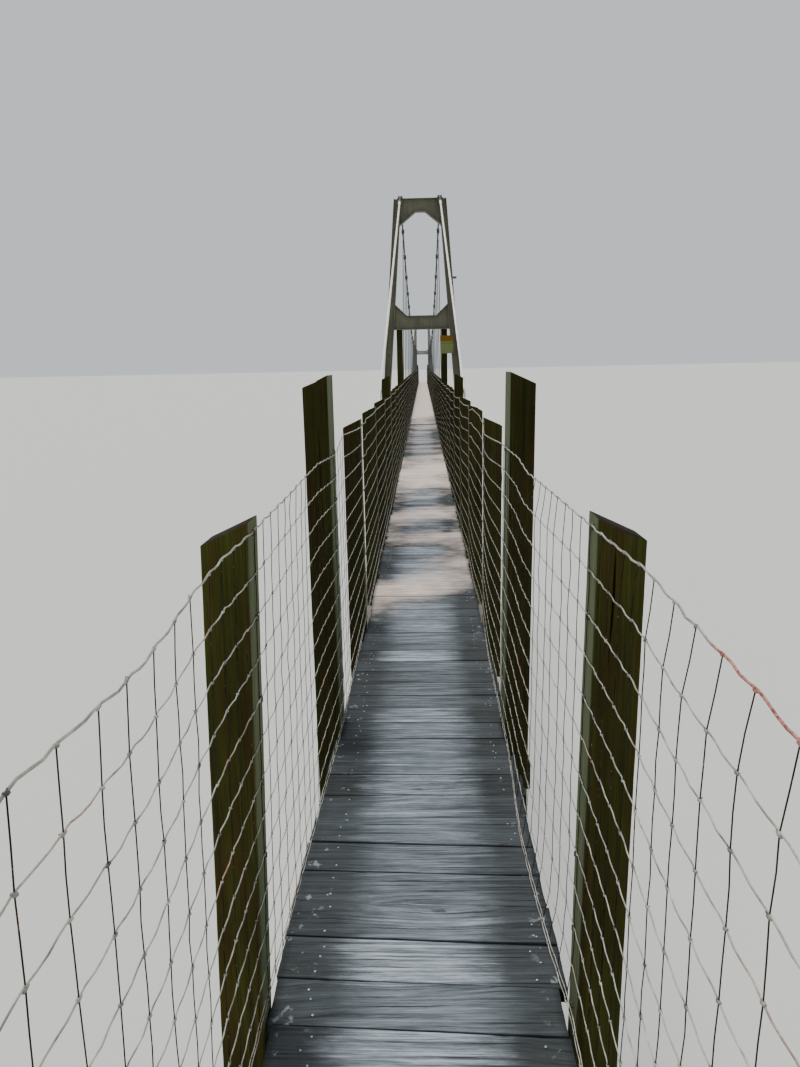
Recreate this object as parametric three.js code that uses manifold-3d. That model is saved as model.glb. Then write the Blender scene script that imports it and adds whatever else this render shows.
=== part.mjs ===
import * as THREE from "three";
import { mergeVertices } from "three/addons/utils/BufferGeometryUtils.js";
import Module from "manifold-3d";

// Suspension footbridge, written in the millimetres of the real bridge and scaled to 1:2 at the end.
// Y runs along the walkway from the near bank to the far bank, X to the right, Z up.
// The origin is on the ground below the middle of the main span.

const wasm = await Module();
wasm.setup();

// Driving dimensions

const MODEL_SCALE = 1 / 2;
const FIT = 0.6;

const BAY = 1600;
const SPAN_BAYS = 26;
const APPROACH_BAYS = 11;
const TOWER_Y = (SPAN_BAYS * BAY) / 2;
const END_Y = TOWER_Y + APPROACH_BAYS * BAY;

const DECK_TOP = 3600;
const PLANK_THICKNESS = 45;
const DECK_HALF_WIDTH = 370;
const STRINGER = { width: 50, depth: 190, offset: 300 };
const CROSSBEAM = { halfLength: 495, depth: 140, width: 90, notch: 5 };

const POST = { innerX: 376, width: 108, depth: 100, height: 1295 };
const TALL_POST = { innerX: 380, width: 104, depth: 200, height: 1550 };
const POST_TOP_SLOPE = Math.tan(THREE.MathUtils.degToRad(25));
const BENT_BAYS = [4, 8];
const WIRE = { size: 6, inset: 3, heights: [30, 1262] };

const TOWER_HEIGHT = 8290;
const TOWER_HALF_TOP = 497;
const LEG_BATTER = 0.077;
const LEG = { width: 140, depth: 150, flange: 12, web: 10 };
const LEG_FOOT = { size: 260, thickness: 20 };
const TOP_BEAM = { bottom: 8050, top: TOWER_HEIGHT, haunchRun: 286, haunchRise: 245 };
const PORTAL_BEAM = { bottom: 5886, top: 6148, haunchRun: 235, haunchRise: 212 };
const FLOOR_BEAM_DEPTH = 200;
const PLATE = 12;
const PORTAL_POST = { width: 118, depth: 110, innerX: 380, lap: 150 };
const PIER = { halfWidth: 1500, halfDepth: 500, height: 900 };

const CABLE_RADIUS = 18;
const CABLE_SIDES = 6;
const CABLE_TOP_X = 372;
const CABLE_LOW_X = 360;
const CABLE_LOW_Z = DECK_TOP + 2400;
const CABLE_BEND = 75;
const CABLE_JOINT = 110;
const BACKSTAY_SLOPE = 0.55;
const BACKSTAY_SPREAD = 0.022;
const SADDLE = { halfLength: 70, thickness: 6, halfWidth: 60, cheeks: [22, 38], cheekRise: 6 };
const HANGER = { size: 16, footX: 430 };
const CLAMP = { x: 52, y: 70, z: 84 };
const ANCHOR = { height: 600, halfWidth: 300, near: 34300, far: 36000 };
const ANCHOR_FOOT = { halfX: 60, halfY: 130, height: 60 };
const ABUTMENT = { halfWidth: 650, depth: 500 };

const SIGN = { x0: 355, x1: 612, z0: DECK_TOP + 1818, z1: DECK_TOP + 2162, thickness: 4 };
const LEG_BRACKET = { z: DECK_TOP + 3225, reach: 80, size: 40 };

const STRINGER_TOP = DECK_TOP - PLANK_THICKNESS;
const STRINGER_BOTTOM = STRINGER_TOP - STRINGER.depth;
const CROSSBEAM_TOP = STRINGER_BOTTOM + CROSSBEAM.notch;
const CROSSBEAM_BOTTOM = STRINGER_BOTTOM - CROSSBEAM.depth;

// Materials

const material = (color, roughness, metalness) =>
  new THREE.MeshStandardMaterial({ color, roughness, metalness });

const MATERIALS = {
  planks: material(0x7a7f80, 0.85, 0),
  posts: material(0x4a4a30, 0.85, 0),
  framing: material(0x5b5644, 0.85, 0),
  wire: material(0x9a9a8e, 0.5, 0.8),
  steel: material(0x5c5e48, 0.6, 0.4),
  cable: material(0xb9b8a8, 0.4, 0.8),
  concrete: material(0x9c988c, 0.9, 0),
  sign: material(0x8a7434, 0.6, 0.2),
};

// Solids

function toSolid(geometry) {
  geometry.deleteAttribute("normal");
  geometry.deleteAttribute("uv");
  const merged = mergeVertices(geometry, 1e-3);
  const mesh = new wasm.Mesh({
    numProp: 3,
    vertProperties: new Float32Array(merged.attributes.position.array),
    triVerts: new Uint32Array(merged.index.array),
  });
  return new wasm.Manifold(mesh);
}

function toGeometry(solid) {
  const mesh = solid.getMesh();
  const geometry = new THREE.BufferGeometry();
  geometry.setAttribute("position", new THREE.BufferAttribute(mesh.vertProperties, 3));
  geometry.setIndex(new THREE.BufferAttribute(mesh.triVerts, 1));
  geometry.computeVertexNormals();
  return geometry;
}

// One solid out of many overlapping ones, joined in pairs so that each step stays small.
function joined(geometries) {
  let solids = geometries.map(toSolid);
  while (solids.length > 1) {
    const next = [];
    for (let i = 0; i < solids.length; i += 2) {
      next.push(i + 1 < solids.length ? solids[i].add(solids[i + 1]) : solids[i]);
    }
    solids = next;
  }
  return toGeometry(solids[0]);
}

function box([x0, y0, z0], [x1, y1, z1]) {
  const geometry = new THREE.BoxGeometry(x1 - x0, y1 - y0, z1 - z0);
  return geometry.translate((x0 + x1) / 2, (y0 + y1) / 2, (z0 + z1) / 2);
}

// A box across the walkway, from -halfX to +halfX.
const crossBox = (halfX, y0, y1, z0, z1) => box([-halfX, y0, z0], [halfX, y1, z1]);

// The closed outline [x, z] pushed through from y0 to y1.
function plateXZ(outline, y0, y1) {
  const shape = new THREE.Shape(outline.map(([x, z]) => new THREE.Vector2(x, z)));
  const geometry = new THREE.ExtrudeGeometry(shape, { depth: y1 - y0, bevelEnabled: false });
  return geometry.rotateX(Math.PI / 2).translate(0, y1, 0);
}

// A square bar from (x0, z0) to (x1, z1) at one y, with level ends.
function leaningBar(x0, z0, x1, z1, y, size) {
  const half = size / 2;
  return plateXZ([[x0 - half, z0], [x0 + half, z0], [x1 + half, z1], [x1 - half, z1]], y - half, y + half);
}

// A plank from (x0, z0) to (x1, z1), its broad side facing along the walkway.
function diagonalPlank(x0, z0, x1, z1, width, y0, y1) {
  const length = Math.hypot(x1 - x0, z1 - z0);
  const dx = (-(z1 - z0) / length) * (width / 2);
  const dz = ((x1 - x0) / length) * (width / 2);
  const outline = [[x0 - dx, z0 - dz], [x1 - dx, z1 - dz], [x1 + dx, z1 + dz], [x0 + dx, z0 + dz]];
  return plateXZ(outline, y0, y1);
}

// Scene graph

const bridge = new THREE.Group();
bridge.scale.setScalar(MODEL_SCALE);
const nearEnd = new THREE.Group();
const middle = new THREE.Group();
const farEnd = new THREE.Group();
farEnd.rotation.z = Math.PI;
bridge.add(nearEnd, middle, farEnd);

function place(group, name, geometry, finish) {
  const mesh = new THREE.Mesh(geometry, MATERIALS[finish]);
  mesh.name = name;
  group.add(mesh);
}

// Side -1 is to the left of a person who walks from the near bank. The far end is the near end turned
// half round, so its sides change places.
const sideName = (end, side) => (side === (end === "far" ? 1 : -1) ? "left" : "right");

// Walkway floor

function stringers(y0, y1) {
  return [-STRINGER.offset, STRINGER.offset].map((x) =>
    box([x - STRINGER.width / 2, y0, STRINGER_BOTTOM], [x + STRINGER.width / 2, y1, STRINGER_TOP]),
  );
}

const crossbeam = (y) =>
  crossBox(CROSSBEAM.halfLength, y, y + CROSSBEAM.width, CROSSBEAM_BOTTOM, CROSSBEAM_TOP);

const floorFrame = (y0, y1, beamYs) => joined([...stringers(y0, y1), ...beamYs.map(crossbeam)]);

const deck = (y0, y1) => crossBox(DECK_HALF_WIDTH, y0, y1, STRINGER_TOP, DECK_TOP);

// Railing

// All posts stand with their front faces on the bay lines. Their tops slope down to the outside.
const postFront = (y) => y - POST.depth / 2;

function timberPost(post, side, y, foot) {
  const inner = side * post.innerX;
  const outer = side * (post.innerX + post.width);
  const top = DECK_TOP + post.height;
  const outline = [[inner, foot], [outer, foot], [outer, top - post.width * POST_TOP_SLOPE], [inner, top]];
  return plateXZ(side > 0 ? outline : outline.reverse(), postFront(y), postFront(y) + post.depth);
}

// The line wires run on the walkway side of the posts, half let into them.
function lineWire(side, height, y0, y1) {
  const centre = side * (POST.innerX + WIRE.inset - WIRE.size / 2);
  const half = WIRE.size / 2;
  const z = DECK_TOP + height;
  return box([centre - half, y0, z - half], [centre + half, y1, z + half]);
}

function railing(side, postYs, y0, y1) {
  const wires = WIRE.heights.map((height) => lineWire(side, height, y0, y1));
  return joined([...wires, ...postYs.map((y) => timberPost(POST, side, y, CROSSBEAM_BOTTOM))]);
}

// Tower

const legOuterX = (z) => TOWER_HALF_TOP + LEG_BATTER * (TOWER_HEIGHT - z);
const legInnerX = (z) => legOuterX(z) - LEG.width;

function towerLeg(side, withBracket) {
  const { width, depth, flange, web } = LEG;
  const halfDepth = depth / 2;
  const foot = PIER.height + LEG_FOOT.thickness;
  const leaningPlate = (from, to, halfY) => {
    const lean = [
      [legInnerX(PIER.height) + from, PIER.height],
      [legInnerX(PIER.height) + to, PIER.height],
      [legInnerX(TOWER_HEIGHT) + to, TOWER_HEIGHT],
      [legInnerX(TOWER_HEIGHT) + from, TOWER_HEIGHT],
    ].map(([x, z]) => [side * x, z]);
    return plateXZ(side > 0 ? lean : lean.reverse(), -TOWER_Y - halfY, -TOWER_Y + halfY);
  };
  const footX = side * (legInnerX(PIER.height) + width / 2);
  const parts = [
    leaningPlate(0, flange, halfDepth),
    leaningPlate(width - flange, width, halfDepth),
    leaningPlate(flange / 2, width - flange / 2, web / 2),
    box(
      [footX - LEG_FOOT.size / 2, -TOWER_Y - LEG_FOOT.size / 2, PIER.height],
      [footX + LEG_FOOT.size / 2, -TOWER_Y + LEG_FOOT.size / 2, foot],
    ),
  ];
  if (withBracket) {
    const { z, reach, size } = LEG_BRACKET;
    const start = legOuterX(z) - LEG.flange / 2;
    parts.push(box([start, -TOWER_Y - size / 2, z], [start + reach, -TOWER_Y + size / 2, z + size]));
  }
  return joined(parts);
}

// A plate girder between the legs with a haunch at each end, below the beam or above it.
function haunchedBeam(beam, haunchBelow) {
  const straight = haunchBelow ? beam.top : beam.bottom;
  const broken = haunchBelow ? beam.bottom : beam.top;
  const tip = haunchBelow ? broken - beam.haunchRise : broken + beam.haunchRise;
  const inward = haunchBelow ? PLATE : -PLATE;
  const endX = (z) => legInnerX(z) - FIT;
  const kneeX = endX(broken) - beam.haunchRun;
  const half = LEG.depth / 2;
  const web = [
    [-endX(straight), straight],
    [-endX(tip), tip],
    [-kneeX, broken],
    [kneeX, broken],
    [endX(tip), tip],
    [endX(straight), straight],
  ];
  const band = [
    [-endX(tip), tip],
    [-kneeX, broken],
    [kneeX, broken],
    [endX(tip), tip],
    [endX(tip + 1.5 * inward), tip + 1.5 * inward],
    [kneeX - PLATE / 2, broken + inward],
    [-kneeX + PLATE / 2, broken + inward],
    [-endX(tip + 1.5 * inward), tip + 1.5 * inward],
  ];
  const flangeZ = [straight, straight - inward].sort((a, b) => a - b);
  const flangeX = Math.min(endX(flangeZ[0]), endX(flangeZ[1]));
  const turn = (outline) => (haunchBelow ? outline : outline.slice().reverse());
  return joined([
    plateXZ(turn(web), -TOWER_Y - PLATE / 2, -TOWER_Y + PLATE / 2),
    plateXZ(turn(band), -TOWER_Y - half, -TOWER_Y + half),
    crossBox(flangeX, -TOWER_Y - half, -TOWER_Y + half, flangeZ[0], flangeZ[1]),
  ]);
}

// The beam under the stringers, between the legs.
function towerFloorBeam() {
  const top = STRINGER_BOTTOM;
  const bottom = top - FLOOR_BEAM_DEPTH;
  const reach = legInnerX(top) - FIT;
  const flangeYs = [-TOWER_Y - LEG.depth / 2, -TOWER_Y + LEG.depth / 2];
  const webYs = [-TOWER_Y - PLATE / 2, -TOWER_Y + PLATE / 2];
  return joined([
    crossBox(reach, ...flangeYs, top - PLATE, top),
    crossBox(reach, ...flangeYs, bottom, bottom + PLATE),
    crossBox(reach, ...webYs, bottom + PLATE / 2, top - PLATE / 2),
  ]);
}

function portalPost(side) {
  const { width, depth, innerX, lap } = PORTAL_POST;
  const xs = [side * innerX, side * (innerX + width)].sort((a, b) => a - b);
  const y0 = -TOWER_Y + LEG.depth / 2;
  return box([xs[0], y0, CROSSBEAM_BOTTOM], [xs[1], y0 + depth, PORTAL_BEAM.bottom + lap]);
}

// Cable heights: level over the tower, a parabola over the main span, a straight backstay to the anchor.

const saddleZ = TOWER_HEIGHT + SADDLE.thickness + FIT + CABLE_RADIUS;

function mainCableZ(y) {
  return CABLE_LOW_Z + (saddleZ - CABLE_LOW_Z) * (y / (TOWER_Y - CABLE_BEND)) ** 2;
}

function mainCableX(y) {
  return CABLE_LOW_X + (CABLE_TOP_X - CABLE_LOW_X) * (y / TOWER_Y) ** 2;
}

const backstayZ = (run) => saddleZ - BACKSTAY_SLOPE * (run - CABLE_BEND);
const backstayX = (run) => CABLE_TOP_X + BACKSTAY_SPREAD * run;
const ANCHOR_RUN = CABLE_BEND + (saddleZ - ANCHOR.height - ANCHOR_FOOT.height / 2) / BACKSTAY_SLOPE;

// A plate on the tower's top under the level part of the cable, with a cheek on each side of it.
function saddle(side) {
  const { halfLength, thickness, halfWidth, cheeks, cheekRise } = SADDLE;
  const x = side * CABLE_TOP_X;
  const y = -TOWER_Y;
  const block = (x0, x1, top) =>
    box([x + x0, y - halfLength, TOWER_HEIGHT], [x + x1, y + halfLength, top]);
  return joined([
    block(-halfWidth, halfWidth, TOWER_HEIGHT + thickness),
    block(-cheeks[1], -cheeks[0], saddleZ + cheekRise),
    block(cheeks[0], cheeks[1], saddleZ + cheekRise),
  ]);
}

// A route through fixed points. One step of the sweep ends at each point.
class PointRoute extends THREE.Curve {
  constructor(points) {
    super();
    this.points = points;
  }

  getPoint(t) {
    const place = THREE.MathUtils.clamp(t, 0, 1) * (this.points.length - 1);
    const index = Math.min(Math.floor(place), this.points.length - 2);
    return this.points[index].clone().lerp(this.points[index + 1], place - index);
  }

  getPointAt(t) {
    return this.getPoint(t);
  }

  getTangentAt(t) {
    return this.getTangent(t);
  }
}

function cableAlong(points) {
  const section = new THREE.Shape();
  for (let i = 0; i < CABLE_SIDES; i++) {
    const angle = ((i + 0.5) / CABLE_SIDES) * 2 * Math.PI;
    const corner = [CABLE_RADIUS * Math.cos(angle), CABLE_RADIUS * Math.sin(angle)];
    i === 0 ? section.moveTo(...corner) : section.lineTo(...corner);
  }
  return new THREE.ExtrudeGeometry(section, {
    steps: points.length - 1,
    extrudePath: new PointRoute(points),
  });
}

function mainCable(side) {
  const point = (y, z) => new THREE.Vector3(side * mainCableX(y), y, z);
  const shoulder = TOWER_Y - CABLE_BEND;
  const bayLines = Array.from({ length: SPAN_BAYS - 1 }, (_, i) => (i + 1) * BAY - TOWER_Y);
  const onBackstay = (end, run) =>
    new THREE.Vector3(side * backstayX(run), end * (TOWER_Y + run), backstayZ(run));
  const overSaddle = (end) => [
    onBackstay(end, CABLE_JOINT),
    onBackstay(end, CABLE_BEND),
    point(end * shoulder, saddleZ),
  ];
  const route = [
    ...overSaddle(-1),
    ...bayLines.map((y) => point(y, mainCableZ(y))),
    ...overSaddle(1).reverse(),
  ];
  const hangers = bayLines.flatMap((bay) => {
    const y = bay + POST.depth / 2 + CROSSBEAM.width / 2;
    const x = side * mainCableX(y);
    const z = mainCableZ(y);
    return [
      leaningBar(side * HANGER.footX, CROSSBEAM_TOP, x, z, y, HANGER.size),
      box(
        [x - CLAMP.x / 2, y - CLAMP.y / 2, z - CLAMP.z / 2],
        [x + CLAMP.x / 2, y + CLAMP.y / 2, z + CLAMP.z / 2],
      ),
    ];
  });
  return joined([cableAlong(route), ...hangers]);
}

function backstay(side) {
  const start = CABLE_JOINT + FIT;
  const at = (run) => new THREE.Vector3(side * backstayX(run), -TOWER_Y - run, backstayZ(run));
  const foot = at(ANCHOR_RUN);
  return joined([
    cableAlong([at(start), foot]),
    box(
      [foot.x - ANCHOR_FOOT.halfX, foot.y - ANCHOR_FOOT.halfY, ANCHOR.height],
      [foot.x + ANCHOR_FOOT.halfX, foot.y + ANCHOR_FOOT.halfY, ANCHOR.height + ANCHOR_FOOT.height],
    ),
  ]);
}

function anchorBlock(side) {
  const x = side * backstayX(ANCHOR_RUN);
  return box([x - ANCHOR.halfWidth, -ANCHOR.far, 0], [x + ANCHOR.halfWidth, -ANCHOR.near, ANCHOR.height]);
}

// Approach trestles: the tall railing posts run down to the ground.

function bent(y) {
  const dap = 10;
  const front = postFront(y);
  const back = front + TALL_POST.depth;
  const behind = [back - dap, back + CROSSBEAM.width];
  const lowGirt = [900, 1040];
  const braceX = TALL_POST.innerX + TALL_POST.width / 2;
  const brace = { width: 140, low: 1150, high: 3050, thickness: 38 };
  return joined([
    ...[-1, 1].map((side) => timberPost(TALL_POST, side, y, 0)),
    crossBox(CROSSBEAM.halfLength, ...behind, CROSSBEAM_BOTTOM, STRINGER_BOTTOM),
    crossBox(CROSSBEAM.halfLength, ...behind, ...lowGirt),
    diagonalPlank(
      -braceX,
      brace.low,
      braceX,
      brace.high,
      brace.width,
      front - brace.thickness,
      front + dap,
    ),
  ]);
}

// Parts of each end

function addEnd(group, end) {
  const bentYs = BENT_BAYS.map((bay) => -(TOWER_Y + bay * BAY));
  const bays = Array.from({ length: APPROACH_BAYS }, (_, i) => i + 1);
  const postYs = bays
    .filter((bay) => !BENT_BAYS.includes(bay))
    .map((bay) => Math.max(-(TOWER_Y + bay * BAY), -END_Y + POST.depth / 2));
  const railingEnd = -TOWER_Y + LEG.depth / 2 + PORTAL_POST.depth / 2;
  const add = (name, geometry, finish) => place(group, end + "_" + name, geometry, finish);

  add("deck", deck(-END_Y, -TOWER_Y), "planks");
  add("floor_frame", floorFrame(-END_Y, -TOWER_Y, postYs.map((y) => y + POST.depth / 2)), "framing");
  bentYs.forEach((y, i) => add("trestle_" + (i + 1), bent(y), "posts"));
  const { halfWidth, depth } = ABUTMENT;
  add("abutment", crossBox(halfWidth, -END_Y, -END_Y + depth, 0, CROSSBEAM_BOTTOM), "concrete");
  const pierYs = [-TOWER_Y - PIER.halfDepth, -TOWER_Y + PIER.halfDepth];
  add("tower_pier", crossBox(PIER.halfWidth, ...pierYs, 0, PIER.height), "concrete");
  add("tower_top_beam", haunchedBeam(TOP_BEAM, true), "steel");
  add("tower_portal_beam", haunchedBeam(PORTAL_BEAM, false), "steel");
  add("tower_floor_beam", towerFloorBeam(), "steel");

  for (const side of [-1, 1]) {
    const hand = sideName(end, side);
    add("tower_" + hand + "_leg", towerLeg(side, end === "near" && side > 0), "steel");
    add("tower_" + hand + "_saddle", saddle(side), "steel");
    add(hand + "_portal_post", portalPost(side), "posts");
    add(hand + "_railing", railing(side, postYs, -END_Y, railingEnd), "posts");
    add(hand + "_backstay", backstay(side), "cable");
    add(hand + "_anchor_block", anchorBlock(side), "concrete");
  }
}

// Main span

function addMainSpan(group) {
  const postYs = Array.from({ length: SPAN_BAYS - 1 }, (_, i) => (i + 1) * BAY - TOWER_Y);
  const portalBack = TOWER_Y - LEG.depth / 2 - PORTAL_POST.depth;
  const beamYs = [-portalBack, ...postYs.map((y) => y + POST.depth / 2), portalBack - CROSSBEAM.width];
  const railingEnd = TOWER_Y - LEG.depth / 2 - PORTAL_POST.depth / 2;

  place(group, "main_deck", deck(-TOWER_Y, TOWER_Y), "planks");
  place(group, "main_floor_frame", floorFrame(-TOWER_Y, TOWER_Y, beamYs), "framing");
  for (const side of [-1, 1]) {
    const hand = sideName("main", side);
    place(group, "main_" + hand + "_railing", railing(side, postYs, -railingEnd, railingEnd), "posts");
    place(group, "main_" + hand + "_cable", mainCable(side), "cable");
  }
}

function addSign(group) {
  const front = -TOWER_Y - LEG.depth / 2;
  const { x0, x1, z0, z1, thickness } = SIGN;
  place(group, "portal_sign", box([x0, front - thickness, z0], [x1, front, z1]), "sign");
}

addEnd(nearEnd, "near");
addMainSpan(middle);
addEnd(farEnd, "far");
addSign(nearEnd);

export default bridge;
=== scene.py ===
import math

import bpy
import numpy as np
from mathutils import Matrix, Vector


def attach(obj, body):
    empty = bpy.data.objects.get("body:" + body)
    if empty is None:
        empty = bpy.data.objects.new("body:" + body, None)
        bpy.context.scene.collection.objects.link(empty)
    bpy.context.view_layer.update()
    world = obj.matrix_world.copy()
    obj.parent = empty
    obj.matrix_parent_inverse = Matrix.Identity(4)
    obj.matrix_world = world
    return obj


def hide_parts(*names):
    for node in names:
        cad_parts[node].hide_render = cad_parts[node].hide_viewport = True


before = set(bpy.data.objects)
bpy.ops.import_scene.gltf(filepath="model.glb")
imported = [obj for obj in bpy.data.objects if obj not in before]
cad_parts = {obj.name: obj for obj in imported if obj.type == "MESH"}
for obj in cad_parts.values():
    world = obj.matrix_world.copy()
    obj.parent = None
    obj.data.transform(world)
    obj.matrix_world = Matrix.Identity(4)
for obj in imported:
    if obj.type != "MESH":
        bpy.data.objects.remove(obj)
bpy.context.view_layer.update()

# Suspension footbridge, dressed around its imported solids. All sizes below are millimetres of the real
# bridge; the part is a 1:2 model, so one real millimetre is MM metres here.
# Y runs along the walkway, X to the right, Z up.

MM = 0.0005

BAY = 1600
TOWER_Y = 20800
END_Y = 38400
DECK_TOP = 3600
PLANK_THICKNESS = 45
STRINGER_X, STRINGER_WIDTH, STRINGER_DEPTH = 300, 50, 190
CROSSBEAM_HALF, CROSSBEAM_DEPTH, CROSSBEAM_WIDTH, CROSSBEAM_NOTCH = 495, 140, 90, 5
STRINGER_TOP = DECK_TOP - PLANK_THICKNESS
STRINGER_BOTTOM = STRINGER_TOP - STRINGER_DEPTH
CROSSBEAM_TOP = STRINGER_BOTTOM + CROSSBEAM_NOTCH
CROSSBEAM_BOTTOM = STRINGER_BOTTOM - CROSSBEAM_DEPTH

BOARD_PITCH, FIRST_BOARD, FIRST_MAIN_BOARD = 158.4, 121, 158

POST_INNER, POST_WIDTH, POST_DEPTH, POST_HEIGHT = 376, 108, 100, 1295
TALL_INNER, TALL_WIDTH, TALL_DEPTH = 380, 104, 200
POST_TOP_SLOPE = math.tan(math.radians(25))
PORTAL_INNER, PORTAL_WIDTH, PORTAL_DEPTH = 380, 118, 110
WIRE_X = POST_INNER - 1.5
TOP_WIRE, FOOT_WIRE = 1262, 54
WIRE_HEIGHTS = np.linspace(30, TOP_WIRE, 13)
MESH = 100
# the near approach's posts nearest to the eye, and a tall one that is a trestle's, between them
SEVENTH_POST, TALL_POST, NINTH_POST = (-(TOWER_Y + bay * BAY) for bay in (7, 8, 9))

TOWER_HEIGHT = 8290
LEG_TOP_X, LEG_WIDTH, LEG_DEPTH, LEG_SLOPE = 497, 140, 150, 0.077
LEG_FLANGE, LEG_WEB = 12, 10
PIER_HEIGHT = 900
PORTAL_UNDER = 5886
CABLE_RADIUS = 18
CABLE_TOP_X, CABLE_LOW_X, CABLE_LOW_Z = 372, 360, DECK_TOP + 2400
CABLE_BEND, CABLE_JOINT = 75, 110
SADDLE_TOP = TOWER_HEIGHT + 6
SADDLE_Z = SADDLE_TOP + 0.6 + CABLE_RADIUS
BACKSTAY_SLOPE, BACKSTAY_SPREAD = 0.55, 0.022
ANCHOR_TOP = 600
HANGER_FOOT_X = 430

CAMERA_AT = (9.8, -36948, DECK_TOP + 1620)
# a board's tone times this leaves in its fraction how trodden the board is
TREAD_DIGITS = 57.3
# from the near end up to here the boards and the woven wire are drawn finer, for views from close by
FINE_TO = -31900
# how much is taken off a sawn timber's edges
ARRIS = 4.0


# Shapes: closed bodies gathered into one mesh


def settled(side, y, z, turned=False):
    """How far the first posts of the near approach, and the wire on them, lean out from the walkway."""
    up = (np.asarray(z, float) - DECK_TOP) / 1000
    if turned:
        return up * 0
    before, behind = TALL_POST - 100, TALL_POST + 100
    first = np.interp(y, [NINTH_POST, before], [1, 0])
    if side < 0:
        return first * (36 - 29 * up)
    second = np.interp(y, [NINTH_POST, before, behind, SEVENTH_POST - 50], [0, 1, 1, 0])
    return first * (-9 + 10.5 * up) + second * (-29 + 6.5 * up)


def ripple(points, length, seed):
    """A smooth random number from -1 to 1 at each point, with waves of about the given length."""
    rng = np.random.default_rng(seed)
    waves = rng.normal(size=(6, 3)) * (2.5 / length)
    return np.sin(points @ waves.T + rng.uniform(0, 2 * math.pi, 6)).mean(-1) * 1.6


class Shape:
    """Closed bodies in real millimetres. Those of a turned shape stand at the far end, half a turn round."""

    def __init__(self, turned=False):
        self.turned = turned
        self.sign = -1 if turned else 1
        self.points, self.corners, self.sizes, self.tones, self.wears = [], [], [], [], []
        self.count = 0

    def add(self, points, faces, tone=0.5, wear=0.0):
        """Faces are arrays of equal-sided faces. Tone and wear are numbers per point, or one for all."""
        points = np.asarray(points, float).reshape(-1, 3) * (self.sign, self.sign, 1)
        for group in faces:
            self.corners.append(group.ravel() + self.count)
            self.sizes.append(np.full(len(group), group.shape[1]))
        self.points.append(points)
        for kept, value in ((self.tones, tone), (self.wears, wear)):
            kept.append(np.broadcast_to(value, len(points)).astype(float))
        self.count += len(points)

    def loft(self, rings, tone=0.5, wear=0.0):
        """Skins rows of closed outlines, (bodies, steps, corners, 3). An end with up to eight corners is
        closed with one flat face, and any other with a fan."""
        rings = np.asarray(rings, float)
        if rings.ndim == 3:
            rings = rings[None]
        bodies, steps, corners, _ = rings.shape
        tone = np.broadcast_to(tone, rings.shape[:3])
        wear = np.broadcast_to(wear, rings.shape[:3])
        first = rings[0, 0]
        area = np.cross(first, np.roll(first, -1, 0)).sum(0)
        if area @ (rings[0, 1].mean(0) - first.mean(0)) < 0:
            rings, tone, wear = rings[:, :, ::-1], tone[:, :, ::-1], wear[:, :, ::-1]
        near = np.arange(steps * corners).reshape(steps, corners)
        turned = np.roll(near, -1, axis=1)
        quads = np.stack([near[:-1], turned[:-1], turned[1:], near[1:]], -1).reshape(-1, 4)
        flat = corners <= 8
        start, end = steps * corners, steps * corners + 1
        caps = np.stack([near[0, ::-1], near[-1]])
        if not flat:
            caps = np.concatenate([
                np.stack([np.full(corners, start), turned[0], near[0]], -1),
                np.stack([np.full(corners, end), near[-1], turned[-1]], -1),
            ])
        step = (np.arange(bodies) * (steps * corners + (0 if flat else 2)))[:, None, None]

        def spread(values):
            rows = values.reshape(bodies, steps * corners, -1)
            ends = values.reshape(bodies, steps, corners, -1)[:, [0, -1]].mean(2)
            return rows if flat else np.concatenate([rows, ends], 1)

        faces = [(quads[None] + step).reshape(-1, 4), (caps[None] + step).reshape(-1, caps.shape[1])]
        self.add(spread(rings), faces, spread(tone).ravel(), spread(wear).ravel())

    def tube(self, paths, radius, sides, up=(0, 0, 1), lobes=1, roll=0.0, wear=0.0):
        """Round bars along paths, (bodies, steps, 3). Lobes scale each side, and roll turns them (rad)."""
        paths = np.asarray(paths, float)
        if paths.ndim == 2:
            paths = paths[None]
        along = np.gradient(paths, axis=1)
        along /= np.linalg.norm(along, axis=-1, keepdims=True)
        across = np.cross(along, up)
        across /= np.linalg.norm(across, axis=-1, keepdims=True)
        over = np.cross(across, along)
        steps = paths.shape[1]
        angle = np.arange(sides) * (2 * math.pi / sides) + np.broadcast_to(roll, steps)[:, None]
        radius = np.broadcast_to(radius, paths.shape[:2])[..., None, None]
        size = radius * np.broadcast_to(lobes, sides)[:, None]
        out = across[:, :, None] * np.cos(angle)[..., None] + over[:, :, None] * np.sin(angle)[..., None]
        self.loft(paths[:, :, None] + out * size, wear=wear[..., None] if np.ndim(wear) else wear)

    def drum(self, centre, axis, radii, heights, sides):
        """A turned body about an axis through its centre, from radii and heights along the axis."""
        axis = Vector(axis).normalized()
        across = axis.orthogonal().normalized()
        over = axis.cross(across)
        angle = np.arange(sides) * (2 * math.pi / sides)
        flat = np.cos(angle)[:, None] * np.array(across) + np.sin(angle)[:, None] * np.array(over)
        self.loft([np.array(centre) + np.array(axis) * h + flat * r for r, h in zip(radii, heights)])

    def slab(self, outline, low, high, axis, chamfer=2.0):
        """A plate with its outline in the plane across an axis (0, 1 or 2), its rims chamfered."""
        outline = np.asarray(outline, float)
        middle = outline.mean(0)
        reach = np.linalg.norm(outline - middle, axis=1, keepdims=True)
        inset = middle + (outline - middle) * (1 - chamfer / reach)
        levels = (low, low + chamfer, high - chamfer, high)
        shapes = (inset, outline, outline, inset)
        self.loft([np.insert(shape, axis, level, axis=1) for shape, level in zip(shapes, levels)])


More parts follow.
